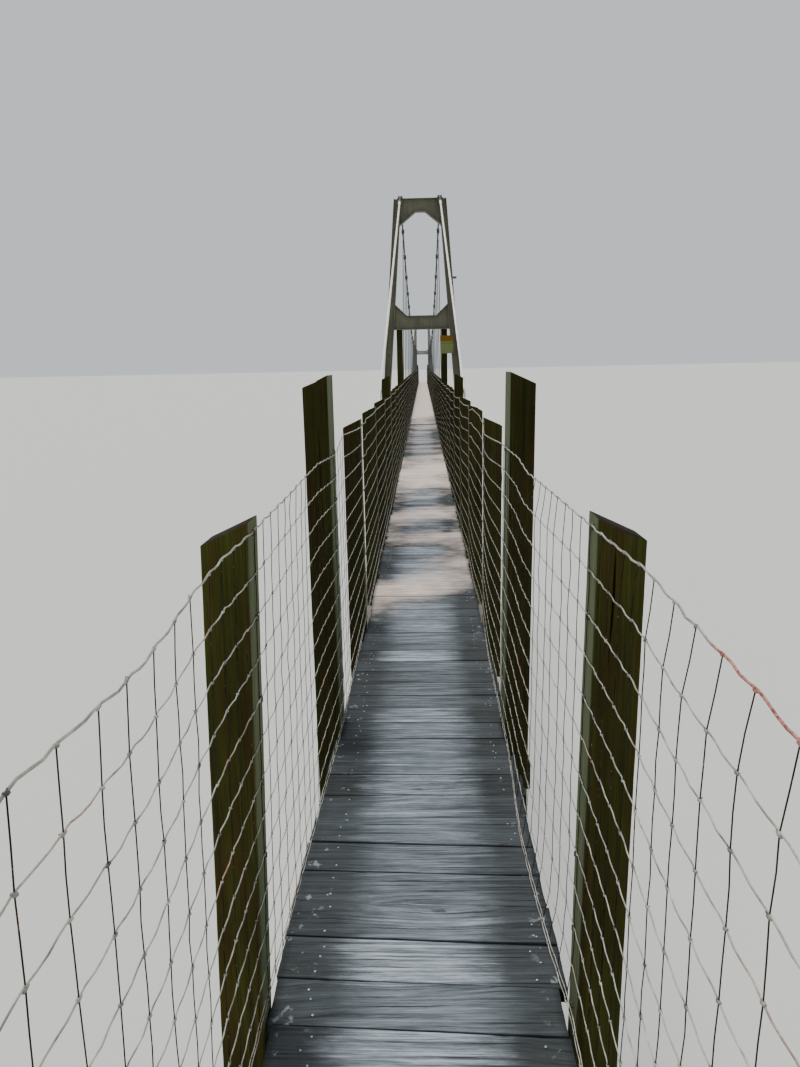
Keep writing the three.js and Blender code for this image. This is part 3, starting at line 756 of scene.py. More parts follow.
# They reach out beyond the rest, most to the left: places, left ends and right ends
LONGER = (
    [-END_Y, -36800, -35330, -35250, -35090, -35080, -34930, -34860, -34740, -34640, -34450, -34320, -34160,
     -34150, -34000, -33990, -33830, -33745, -33730, -33470, -33460, -32900, -32200, FINE_TO],
    [0, 33, 36, 38, 40, 48, 44, 46, 52, 48, 43, 38, 40, 41, 42, 42, 39, 36, 10, 10, 26, 16, 4, 0],
    [0, -12, -18, -17, -16, 2, 8, 4, -2, 4, -1, -6, 6, 14, 18, 8, 10, 6, -18, -18, 14, 12, 4, 0],
)
# How worn they are: places, and shares from 0 to 1
TRODDEN = (
    [-35298, -35158, -35005, -34861, -34708, -34556, -34390, -34235, -34078, -33913, -33759, -33602, -33447],
    [0.8, 0.3, 0.85, 0.45, 0.35, 0.35, 0.5, 0.6, 0.75, 0.55, 0.6, 0.5, 0.7],
)
OLD_BOARDS = (ASKEW, LONGER, TRODDEN)
PLAIN_BOARDS = (([0], [0]), ([0], [0], [0]), ([END_Y], [0]))


def boards(name, start, stop, first, turned, steps, seed, laid, *replaced):
    """Boards across the walkway with worn edges, ragged ends and gaps from tight to 8 mm, and their nails.
    First is the width of the first board, and laid is OLD_BOARDS or PLAIN_BOARDS."""
    askew, longer, trodden = laid
    rng = np.random.default_rng(seed)
    count = round((stop - start - first) / BOARD_PITCH)
    cuts = np.concatenate([[start], np.linspace(start + first, stop, count + 1)])
    cuts[2:-1] += rng.uniform(-4, 4, count - 1)
    slant = np.interp(cuts, *askew) + rng.uniform(-0.002, 0.002, len(cuts))
    slant[[0, -1]] = 0
    gap = rng.uniform(0.5, 1.2, (len(cuts) - 1, 2))
    gap += rng.uniform(0.3, 3.4, gap.shape) * (rng.random(gap.shape) < 0.5)
    gap[0, 0] = gap[-1, 1] = 0
    low, high = cuts[:-1] + gap[:, 0], cuts[1:] - gap[:, 1]
    number = len(low)
    low, high, low_slant, high_slant = (v[:, None, None] for v in (low, high, slant[:-1], slant[1:]))
    # the section from one lower edge over the top to the other: share of the width, and height
    across = np.array([-0.5, -0.5, -0.492, -0.47, -0.3, -0.1, 0.1, 0.3, 0.47, 0.492, 0.5, 0.5])
    height = np.array([-PLANK_THICKNESS, -2.8, -0.6, 0, 0, 0, 0, 0, 0, -0.6, -2.8, -PLANK_THICKNESS])
    lower = height == -PLANK_THICKNESS
    # how much painted shade each corner of the section gets: full on the underside, most on the sides
    gap_shade = np.array([1, 0.7, 0.1, 0, 0, 0, 0, 0, 0, 0.1, 0.7, 1.0])
    spaced = np.linspace(-1, 1, steps)
    spaced = np.sign(spaced) * np.abs(spaced) ** 0.8
    reach = rng.uniform(363, 371, (number, 2))
    reach[rng.random((number, 2)) < 0.1] -= rng.uniform(4, 12)
    for hand in (0, 1):
        reach[:, hand] += np.interp((low + high).ravel() / 2, longer[0], longer[hand + 1])
    half = np.where(spaced < 0, reach[:, :1], reach[:, 1:])
    x = np.repeat((spaced * half)[:, :, None], len(across), 2)
    ragged = (np.abs(spaced) > 0.97)[None, :, None]
    x = x + ragged * rng.uniform(-3.5, 0, x.shape) * np.sign(x)
    y = (low - low_slant * x) * (0.5 - across) + (high - high_slant * x) * (0.5 + across)
    cup = rng.uniform(-2.2, 1.4, (number, 1, 1)) * (1 - (2 * across) ** 2)
    lift = rng.uniform(-2.5, 0.4, (number, 1, 1)) + rng.uniform(-0.004, 0.004, (number, 1, 1)) * x
    z = DECK_TOP + height + np.where(lower, 0, cup + lift)
    points = np.stack([x, y, z], -1)
    edge = np.where((np.abs(across) > 0.46) & ~lower, 1.0, 0.0)
    chips = np.clip(ripple(points, 34, seed + 1) - 0.55, 0, 1)
    chips = chips + np.clip(ripple(points, 120, seed + 2) - 0.3, 0, 1) * 0.3
    points[..., 2] -= edge * chips * 3.0
    points[..., 1] -= np.sign(across) * edge * chips * 3.2
    points[..., 2] += np.where(edge + lower > 0, 0, ripple(points, 38, seed + 3) * 0.5)
    tone = np.clip(rng.normal(0.5, 0.26, number), 0, 1)
    middles = ((low + high) / 2).ravel()
    given = (middles > trodden[0][0] - BOARD_PITCH / 2) & (middles < trodden[0][-1] + BOARD_PITCH / 2)
    share = np.interp(middles, *trodden)
    tone = np.where(given, (np.floor(tone * TREAD_DIGITS) + share) / TREAD_DIGITS, tone)[:, None, None]
    wear = np.broadcast_to(np.maximum(gap_shade, 0.7 * (np.abs(spaced) > 0.999)[:, None]), x.shape[1:])
    deck = Shape(turned)
    close = (middles < FINE_TO) & (not turned)
    if close.any():
        deck.loft(points[close], tone[close], wear[None])
    # farther boards have fewer steps from end to end and fewer corners round their section
    along = np.array([0, *np.round(np.linspace(1, steps - 2, max(6, steps // 3))).astype(int), steps - 1])
    corners = [0, 1, 2, 3, 5, 8, 9, 10, 11]
    deck.loft(points[~close][:, along][:, :, corners], tone[~close], wear[along][:, corners][None])
    piece(deck, name + "_deck_planks", DECKING, "deck_planks", *replaced, sharp=50)

    nails = Shape(turned)
    sides = 8 if steps > 16 else 4
    angle = np.arange(sides) * (2 * math.pi / sides)
    disc = np.stack([np.cos(angle), np.sin(angle), np.zeros(sides)], -1)
    spots = []
    for side in (-1, 1):
        for row, shares in ((-0.3, 0.95), (0.28, 0.95), (0.02, 0.25), (-0.26, 0.2)):
            sx = side * (STRINGER_X + rng.uniform(-17, 17, number))
            share = 0.5 + row + rng.uniform(-0.06, 0.06, number)
            sy = low[:, 0, 0] * (1 - share) + high[:, 0, 0] * share - slant[:-1] * sx
            sz = DECK_TOP + lift[:, 0, 0] + cup[:, 0, 4] * 0.8
            spots.append(np.stack([sx, sy, sz], -1)[rng.random(number) < shares])
    spots = np.concatenate(spots)
    size = rng.uniform(3.0, 4.2, (len(spots), 1, 1))
    steps_up = ((1, -4), (1, 0.8), (0.6, 1.4))
    nails.loft(np.stack([spots[:, None] + disc * size * grow + (0, 0, rise) for grow, rise in steps_up], 1))
    piece(nails, name + "_deck_nails", NAILS, "deck_planks")


# Timbers


def timber_section(width, depth, chamfer):
    """A sawn section with its arrises taken off and a point in the middle of each face, as (a, b) pairs."""
    w, d, c = width / 2, depth / 2, chamfer
    return np.array([
        (-w + c, -d), (0, -d), (w - c, -d), (w, -d + c), (w, 0), (w, d - c),
        (w - c, d), (0, d), (-w + c, d), (-w, d - c), (-w, 0), (-w, -d + c),
    ])


def timber(shape, start, end, width_axis, width, depth, rng, step=240):
    """A sawn timber from start to end. Its ends are cut square, and its faces are slightly uneven."""
    start, end = np.array(start, float), np.array(end, float)
    axis = (end - start) / np.linalg.norm(end - start)
    a = np.array(width_axis, float)
    a -= axis * (a @ axis)
    a /= np.linalg.norm(a)
    b = np.cross(axis, a)
    section = timber_section(width, depth, ARRIS)
    length = np.linalg.norm(end - start)
    stations = np.linspace(6, length - 6, max(2, math.ceil(length / step)) + 1)
    stations = np.concatenate([[0, 1.5], stations, [length - 1.5, length]])
    inset = np.ones(len(stations))
    inset[[0, -1]] = 1 - 3.0 / min(width, depth)
    flat = (section[:, :1] * a + section[:, 1:] * b)[None] * inset[:, None, None]
    rings = start + stations[:, None, None] * axis + flat
    seed = int(rng.integers(1 << 30))
    uneven = ripple(rings, 260, seed) * 1.3 + ripple(rings, 70, seed + 1) * 0.5
    rings = rings + flat / np.linalg.norm(flat, axis=-1, keepdims=True) * uneven[..., None]
    wear = np.zeros(rings.shape[:2])
    wear[[0, -1]] = -1
    shape.loft(rings, rng.uniform(0.1, 0.9), wear)


def standing_post(
    shape, side, front, inner, width, depth, foot, top, rng,
    slope=POST_TOP_SLOPE, check=None, step=170, tone=None,
):
    """A post beside the walkway. Its top falls to the outside, and its walkway face is painted paler, for sun
    bleaching and painted sunlight. A check is
    a drying crack down its front: (its place across the face, its low end, its high end, its depth)."""
    w, c = width / 2, 3
    section = [
        (-w, depth - c), (-w, depth / 2), (-w, c), (-w + c, 0), (-6, 0), (0, 0), (6, 0), (w - c, 0),
        (w, c), (w, depth / 2), (w, depth - c), (w - c, depth), (0, depth), (-w + c, depth),
    ]
    section = np.array(section)
    high = np.arange(foot + 60, top - width * slope - 30, step)
    stations = np.concatenate([[foot, foot + 4], high, [top - width * slope - 24, top - 1.5, top]])
    tilted = np.zeros(len(stations))
    tilted[-2:] = 1
    inset = np.ones(len(stations))
    inset[[0, -1]] = 1 - 3.0 / width
    a = section[:, 0] * inset[:, None]
    b = (section[:, 1] - depth / 2) * inset[:, None] + depth / 2
    centre = side * (inner + w)
    lean = rng.uniform(-0.003, 0.003, 2) * (0 if slope == 0 else 1)
    rise = np.clip(stations - DECK_TOP, 0, None)[:, None]
    x = centre + side * a + rise * lean[0] * (lean[0] * side > 0)
    y = front + b + rise * lean[1]
    z = stations[:, None] - tilted[:, None] * (a + w) * slope
    moved = side * settled(side, front + depth / 2, z, shape.turned)
    rings = np.stack([x, y, np.broadcast_to(z, x.shape)], -1)
    seed = int(rng.integers(1 << 30))
    uneven = (ripple(rings, 330, seed) * 1.2 + ripple(rings, 60, seed + 1) * 0.5)[..., None]
    out = np.stack([x - centre, y - front - depth / 2, np.zeros_like(x)], -1)
    rings = rings + out / np.linalg.norm(out, axis=-1, keepdims=True) * np.clip(uneven, -2, 1)
    if check:
        place, low, low_end, cut = check
        share = np.clip((stations - low) / (low_end - low), 0, 1)
        taper = np.sin(share * math.pi) ** 0.5
        wander = place + 4 * np.sin(stations / 190) + 2 * np.sin(stations / 61)
        for index, offset in ((4, -2.2), (5, 0), (6, 2.2)):
            rings[:, index, 0] = centre + side * (wander + offset * (0.4 + taper))
        rings[:, 5, 1] += cut * taper
    rings[..., 0] += moved
    wear = np.zeros(rings.shape[:2])
    # the walkway face gets the paler colour: bleaching and painted sunlight
    wear[:, :3] = 1.0
    wear[[0, -1]] = -1
    shape.loft(rings, rng.uniform(0.1, 0.5) if tone is None else tone, wear)


def bolt(shape, centre, axis, size=11.0, washer=True, tail=0.0):
    """A hexagon head on a round washer, standing on a face. A tail adds a threaded end through a nut."""
    if washer:
        shape.drum(centre, axis, [size * 1.7, size * 1.75, size * 1.55], [-1, 2, 3.5], 14)
    shape.drum(centre, axis, [size, size * 1.04, size * 1.04, size * 0.8], [1, 4, size * 1.1, size * 1.3], 6)
    if tail:
        shape.drum(centre, axis, [size * 0.5, size * 0.5, size * 0.38], [2, tail - 3, tail], 8)


def plate_washer(shape, centre, axis, half, thickness):
    """A square plate on a face, with its side twice half, that rises along the axis."""
    axis_index = int(np.argmax(np.abs(axis)))
    flat = [c for i, c in enumerate(centre) if i != axis_index]
    square = np.array([(-half, -half), (half, -half), (half, half), (-half, half)]) + flat
    level = centre[axis_index]
    low, high = sorted((level, level + thickness * axis[axis_index]))
    shape.slab(square, low, high, axis_index)


def railing_posts(name, side, turned, ys, seed, *replaced):
    """The plain posts of one railing, each bolted to the crossbeam behind it."""
    rng = np.random.default_rng(seed)
    posts, bolts = Shape(turned), Shape(turned)
    for i, y in enumerate(ys):
        front = y - POST_DEPTH / 2
        top = DECK_TOP + POST_HEIGHT + rng.uniform(-7, 6)
        place, low, high = rng.uniform(-20, 25), DECK_TOP + rng.uniform(0, 900), top - rng.uniform(60, 200)
        cut = rng.uniform(6, 14)
        check = (place, low, high, cut) if i % 3 == 1 else None
        tone = None
        if y == NINTH_POST and not turned:
            # the two posts nearest to the eye are lighter in tone, and the right one has a deep check
            tone = 0.75 if side < 0 else 0.5
            check = None if side < 0 else (-12, DECK_TOP + 1000, DECK_TOP + 1215, 16)
        looks = {"check": check, "tone": tone, "step": 55 if y < TALL_POST and not turned else 230}
        size = (POST_INNER, POST_WIDTH, POST_DEPTH)
        standing_post(posts, side, front, *size, CROSSBEAM_BOTTOM, top, rng, **looks)
        for drop in (38, 100):
            x = POST_INNER + POST_WIDTH / 2 + rng.uniform(-8, 8) + settled(side, y, CROSSBEAM_TOP, turned)
            bolt(bolts, (side * x, front, CROSSBEAM_TOP - drop), (0, -1, 0))
    piece(posts, name + "_posts", POSTS, "post_timber", *replaced, sharp=42)
    piece(bolts, name + "_post_bolts", BOLTS, "fence_wire")


# Woven wire


# How far the top wire is above its line beside the first posts, where it was pulled out of shape: places
# along the walkway and heights, for the left and the right side
HUNG = {
    -1: (
        [-END_Y, -36800, -36250, -36150, -36070, -35940, -35800, -35720, -35640, -35500, -35210, -34700,
         -34350, -34090, -33860, -33540, -33430, -33150, -32050, -31950, -31660, -31600, -30750],
        [0, -14, -19, -25, -30, -33, -20, -7, 0, 7, 2, 0, 8, 14, 3, -16, -9, 34, -11, -2, -14, 7, -6],
    ),
    1: (
        [-END_Y, -36800, -36210, -36160, -36060, -35880, -35640, -35380, -35200, -34510, -34220, -33990,
         -33450, -33170, -32570, -32100, -31990, -31620, -30900],
        [0, -22, -16, -10, -4, 2, 15, 4, 0, -7, -13, 10, 8, -5, -40, -64, -9, 22, 25],
    ),
}

# From here on it hangs as on the rest of the bridge
HUNG_TO = -30500

# How far the foot of the wire on the right is pressed in over the boards' ends there: places and distances
FOOT_IN = ([-36400, -35250, -35000, -34480, -34150, -33800], [-20, -12, -24, -19, -6, 0])


def fence(name, side, turned, start, stop, post_ys, fine_to, seed):
    """Crimped line wires on the walkway side of the posts, tied by short upright stays with a wrap at each
    crossing. The near approach's is drawn finer up to fine_to, and it was pulled out of shape there; the
    others start at fine_to."""
    pulled = fine_to > start
    rng = np.random.default_rng(seed)
    cells = round((stop - start) / MESH)
    stay_ys = np.linspace(start, stop, cells + 1)[1:-1]
    stay_ys = stay_ys + rng.uniform(-7, 7, len(stay_ys))
    fixed = np.sort(np.array(post_ys))
    # a wire hangs from post to post, and staples pull it down at a post's front edge and up at its back
    places = (fixed[:, None] + (-55, 55, BAY / 2)).ravel()
    pulls = rng.uniform((-26, -2, -12), (2, 18, -2), (len(fixed), 3)).ravel()
    if pulled:
        later = places > HUNG_TO
        places = np.concatenate([HUNG[side][0], places[later]])
        pulls = np.concatenate([HUNG[side][1], pulls[later]])

    def bulge(y, z):
        """How far the wire stands off the posts' line between two posts."""
        free = np.abs(y[..., None] - fixed).min(-1) / (BAY / 2)
        points = np.stack([np.zeros_like(y), y, z], -1)
        loose = np.sin(np.clip(free, 0, 1) * math.pi / 2) ** 2
        off = loose * np.where(z < TOP_WIRE, ripple(points, 2600, seed) * 6 - (13 if side > 0 else 2), 0)
        if pulled and side > 0:
            off = off + np.interp(y, *FOOT_IN) * np.clip((150 - z) / 90, 0, 1)
        return off + settled(side, y, DECK_TOP + z, turned)

    def sag(y, z):
        """How far the wire is above its line."""
        points = np.stack([np.full_like(y, side * 1.0), y, z * 3], -1)
        return ripple(points, 900, seed + 7) * 2.5 + np.interp(y, places, pulls) * (0.3 + 0.7 * z / TOP_WIRE)

    wires = Shape(turned)
    heights = np.concatenate([WIRE_HEIGHTS, [FOOT_WIRE]])
    # each span's ends, its steps from stay to stay and the sides of its wire
    spans = [(start, fine_to, 4, 5), (fine_to, stop, 2, 3)] if pulled else [(start, stop, 1, 3)]
    for low, high, per_cell, sides in spans:
        steps = max(2, round((high - low) / MESH * per_cell)) + 1
        y = np.broadcast_to(np.linspace(low, high, steps), (len(heights), steps))
        z = np.repeat(heights[:, None], steps, 1)
        index = np.arange(steps) + rng.integers(0, 2, (len(heights), 1))
        crimp = np.where(index % 2 == 0, 1.0, -1.0) * (2.2 if per_cell > 1 else 1.5)
        if per_cell == 4:
            crimp = np.sin(index * math.pi / 2 + 0.4) * 1.9
        rise = sag(y, z) + crimp + rng.normal(0, 0.7, y.shape)
        x = side * (WIRE_X + bulge(y, z) + crimp * 0.25)
        # the farther wires are a little thicker, or else they would not show
        radius = np.where(heights == TOP_WIRE, 2.0, 1.35)[:, None] * (1.02 if per_cell == 4 else 1.25)
        wear = np.clip(ripple(np.stack([x, y, z * 9], -1), 300, seed + 3) * 1.6 - 1.15, 0, 0.5)
        if pulled and side > 0:
            # the top wire has rusted bare beside the first post
            bare = (y < -35960) & (y > -36700) & (heights[:, None] == TOP_WIRE)
            wear = np.where(bare, 0.95, wear)
        wires.tube(np.stack([x, y, DECK_TOP + z + rise], -1), radius, sides, wear=wear)
    piece(wires, name + "_line_wires", LINE_WIRE, "fence_wire", sharp=70)

    stays, wraps = Shape(turned), Shape(turned)
    grid = (len(stay_ys), len(WIRE_HEIGHTS))
    grid_y = stay_ys[:, None] + rng.normal(0, 2.6, grid)
    grid_z = np.broadcast_to(WIRE_HEIGHTS, grid)
    grid_x = side * (WIRE_X + bulge(grid_y, grid_z))
    nodes = np.stack([grid_x, grid_y, DECK_TOP + grid_z + sag(grid_y, grid_z)], -1)
    between = (len(stay_ys), len(WIRE_HEIGHTS) - 1, 1)
    ends = nodes[:, 1:] + (0, 1, 0) * rng.normal(0, 1.2, between)
    bowed = (nodes[:, :-1] + ends) / 2 + np.array([side * 0.8, 1, 0]) * rng.normal(0, 2.0, between)
    for near in (True, False):
        rows = (stay_ys < fine_to) == near
        if not rows.any():
            continue
        paths = nodes[rows, ::2]
        if near:
            paths = np.stack([nodes[:, :-1], bowed], 2)[rows].reshape(rows.sum(), -1, 3)
            paths = np.concatenate([paths, nodes[rows, -1:]], 1)
        stays.tube(paths, 1.05 if near else 1.25, 4 if near else 3, up=(0, 1, 0))
        spots = nodes[rows].reshape(-1, 3)
        sides, half, thick = (5, 5.5, 2.9) if near else (3, 6.5, 3.3)
        tilt = rng.normal(0, 0.25, (len(spots), 1)) * np.array([0, 0, 1.0])
        axis = np.array([0, 1.0, 0]) + tilt
        offsets, radii = ((-1, -0.6, 0.6, 1), (0.55, 1, 1, 0.55)) if near else ((-1, 1), (0.8, 0.8))
        paths = np.stack([spots + axis * half * k for k in offsets], 1)
        bare = pulled & (side > 0) & (spots[:, 1] < -35900) & (spots[:, 2] > DECK_TOP + TOP_WIRE - 32)
        wraps.tube(paths, thick * np.array(radii)[None], sides, wear=0.9 * bare[:, None])
        if near:
            # the cut end of each wrap sticks out a little
            aim = rng.uniform((-2.5, -4, 1), (2.5, 4, 4), (len(spots), 3))
            wraps.tube(np.stack([spots, spots + aim, spots + aim * 1.4], 1), 1.1, 3, up=(0.3, 1, 0))
    piece(stays, name + "_wire_stays", SHADED_STAY_WIRE, "fence_wire", sharp=70)
    piece(wraps, name + "_wire_wraps", WRAP_WIRE, "fence_wire", sharp=70)


def staples(name, side, turned, ys, inner, depths, seed):
    """Fencing staples that hold the line wires against the posts."""
    rng = np.random.default_rng(seed)
    shape = Shape(turned)
    paths = []
    for y, depth in zip(ys, depths):
        for height in WIRE_HEIGHTS[::2]:
            z = DECK_TOP + height + rng.uniform(-2, 2)
            at = y - POST_DEPTH / 2 + depth * rng.uniform(0.3, 0.7)
            x = side * (inner + settled(side, at, z, turned))
            leg, crown = x + side * 4, x - side * 6.5
            rounds = (leg, -3, -7), (crown, -1, -5), (crown, 1, 5), (leg, 3, 7)
            paths.append([(reach, at + along, z + rise) for reach, along, rise in rounds])
    shape.tube(paths, 1.8, 5, up=(0, 1, 0))
    piece(shape, name + "_staples", BOLTS, "fence_wire", sharp=60)


# Floor framing


SPLICE_HALF, SPLICE_THICKNESS = 380, 36
SHORTEST_LENGTH = 900


def floor_framing(name, turned, start, stop, beam_ys, joint, seed, *replaced):
    """Two lines of stringers in butted lengths with splice boards, on crossbeams."""
    rng = np.random.default_rng(seed)
    long, cross, bolts = Shape(turned), Shape(turned), Shape(turned)
    middle = (STRINGER_TOP + STRINGER_BOTTOM) / 2
    for side in (-1, 1):
        x = side * STRINGER_X
        last = stop - SHORTEST_LENGTH
        cuts = np.arange(start + joint, last, 3 * BAY) + (side > 0) * BAY
        cuts = np.concatenate([[start], cuts[cuts < last], [stop]])
        for low, high in zip(cuts[:-1], cuts[1:]):
            low, high = low + 1.5 * (low > start), high - 1.5 * (high < stop)
            ends = (x, low, middle), (x, high, middle)
            timber(long, *ends, (1, 0, 0), STRINGER_WIDTH, STRINGER_DEPTH, rng, 400)
        for cut in cuts[1:-1]:
            inside = x - side * (STRINGER_WIDTH / 2 + 19)
            ends = (inside, cut - SPLICE_HALF, middle), (inside, cut + SPLICE_HALF, middle)
            timber(long, *ends, (1, 0, 0), SPLICE_THICKNESS, STRINGER_DEPTH - 40, rng, 200)
            for along in (-300, -110, 110, 300):
                for rise in (-38, 38):
                    bolt(bolts, (x + side * STRINGER_WIDTH / 2, cut + along, middle + rise), (side, 0, 0), 8)
    for y in beam_ys:
        z = (CROSSBEAM_TOP + CROSSBEAM_BOTTOM) / 2
        at = y + CROSSBEAM_WIDTH / 2
        ends = (-CROSSBEAM_HALF, at, z), (CROSSBEAM_HALF, at, z)
        timber(cross, *ends, (0, 1, 0), CROSSBEAM_WIDTH, CROSSBEAM_DEPTH, rng)
    piece(long, name + "_stringers", LONG_TIMBER, "framing_timber", *replaced, sharp=42)
    piece(cross, name + "_crossbeams", CROSS_TIMBER, "framing_timber", *replaced, sharp=42)
    piece(bolts, name + "_splice_bolts", BOLTS, "tower_steel")


# Trestles


# the ends of a trestle's low girt and of its diagonal brace, above the footing
GIRT_LOW, GIRT_HIGH = 900, 1040
BRACE_LOW, BRACE_HIGH = 1150, 3050


def trestle(name, turned, y, height, seed, *replaced):
    """Two tall posts on the footing level, with a cap behind them, a low girt and one diagonal brace."""
    rng = np.random.default_rng(seed)
    uprights, girts, bolts = Shape(turned), Shape(turned), Shape(turned)
    front = y - POST_DEPTH / 2
    back = front + TALL_DEPTH
    for side in (-1, 1):
        top = DECK_TOP + height + rng.uniform(-5, 4)
        check = (rng.uniform(-18, 20), DECK_TOP + 900, top - 250, 8) if side < 0 else None
        looks = {"check": check, "tone": 0.12 + 0.1 * rng.random(), "step": 260 if turned else 120}
        standing_post(uprights, side, front, TALL_INNER, TALL_WIDTH, TALL_DEPTH, 0, top, rng, **looks)
    for low, high in ((CROSSBEAM_BOTTOM, STRINGER_BOTTOM), (GIRT_LOW, GIRT_HIGH)):
        z = (low + high) / 2
        at = back + CROSSBEAM_WIDTH / 2
        ends = (-CROSSBEAM_HALF, at, z), (CROSSBEAM_HALF, at, z)
        timber(girts, *ends, (0, 1, 0), CROSSBEAM_WIDTH, high - low, rng)
        for side in (-1, 1):
            for rise in (-34, 34):
                at_bolt = side * (TALL_INNER + TALL_WIDTH / 2)
                bolt(bolts, (at_bolt, back + CROSSBEAM_WIDTH, z + rise), (0, 1, 0), 12)
                bolt(bolts, (at_bolt, front, z + rise), (0, -1, 0), 12, tail=26)
    brace_x = TALL_INNER + TALL_WIDTH / 2
    ends = (-brace_x, front - 19, BRACE_LOW), (brace_x, front - 19, BRACE_HIGH)
    timber(girts, *ends, (0, 1, 0), 38, 140, rng)
    for bx, _, bz in ends:
        bolt(bolts, (bx, front - 38, bz), (0, -1, 0), 12)
    piece(uprights, name + "_posts", POSTS, "post_timber", *replaced, sharp=42)
    piece(girts, name + "_girts", CROSS_TIMBER, "post_timber", *replaced, sharp=42)
    piece(bolts, name + "_bolts", BOLTS, "tower_steel")


# Cables


def main_z(y):
    """How high the main cable hangs, a parabola from saddle to saddle."""
    return CABLE_LOW_Z + (SADDLE_Z - CABLE_LOW_Z) * (y / (TOWER_Y - CABLE_BEND)) ** 2


def main_x(y):
    """How far out it hangs: the hangers draw it in at the middle of the span."""
    return CABLE_LOW_X + (CABLE_TOP_X - CABLE_LOW_X) * (y / TOWER_Y) ** 2


def backstay_z(run):
    """How high the backstay is, run millimetres behind the tower."""
    return SADDLE_Z - BACKSTAY_SLOPE * (run - CABLE_BEND)


def backstay_x(run):
    """How far out it is there."""
    return CABLE_TOP_X + BACKSTAY_SPREAD * run


ANCHOR_RUN = CABLE_BEND + (SADDLE_Z - ANCHOR_TOP - 30) / BACKSTAY_SLOPE
# six strands round a core: the section swells at each strand and winds once in 300 mm
LOBES = np.tile([1.0, 0.87], 6)
LAY_LENGTH, LAY_STEP = 300, 55


def rope(shape, path, **marks):
    """A laid cable along a path of close points."""
    path = np.asarray(path, float)
    far = np.concatenate([[0], np.cumsum(np.linalg.norm(np.diff(path, axis=0), axis=1))])
    shape.tube(path, CABLE_RADIUS, 12, lobes=LOBES, roll=far * (2 * math.pi / LAY_LENGTH), **marks)


def wire_clip(shape, centre, axis):
    """A U-bolt clip on a cable: a saddle block, the U over the cable, and two nuts below."""
    axis = Vector(axis).normalized()
    side = axis.cross(Vector((0, 0, 1))).normalized()
    over = side.cross(axis)
    centre, axis, side, over = (np.array(v) for v in (centre, axis, side, over))
    angle = np.linspace(0, math.pi, 9)
    reach = CABLE_RADIUS + 7
    bend = centre + np.cos(angle)[:, None] * side * reach + np.sin(angle)[:, None] * over * reach
    legs = [bend[0] - over * 48, *bend, bend[-1] - over * 48]
    shape.tube([legs], 6.5, 6, up=axis)
    wide = reach + 15
    outline = np.array([(-wide, -16), (wide, -16), (wide, 2), (14, 8), (-14, 8), (-wide, 2)])
    base = centre - over * (CABLE_RADIUS + 8)
    shape.loft([base + axis * k + outline[:, :1] * side + outline[:, 1:] * over for k in (-16, 16)])
    for end in (-1, 1):
        nut = base + side * reach * end - over * 22
        shape.drum(nut, over, [11, 11], [-7, 7], 6)


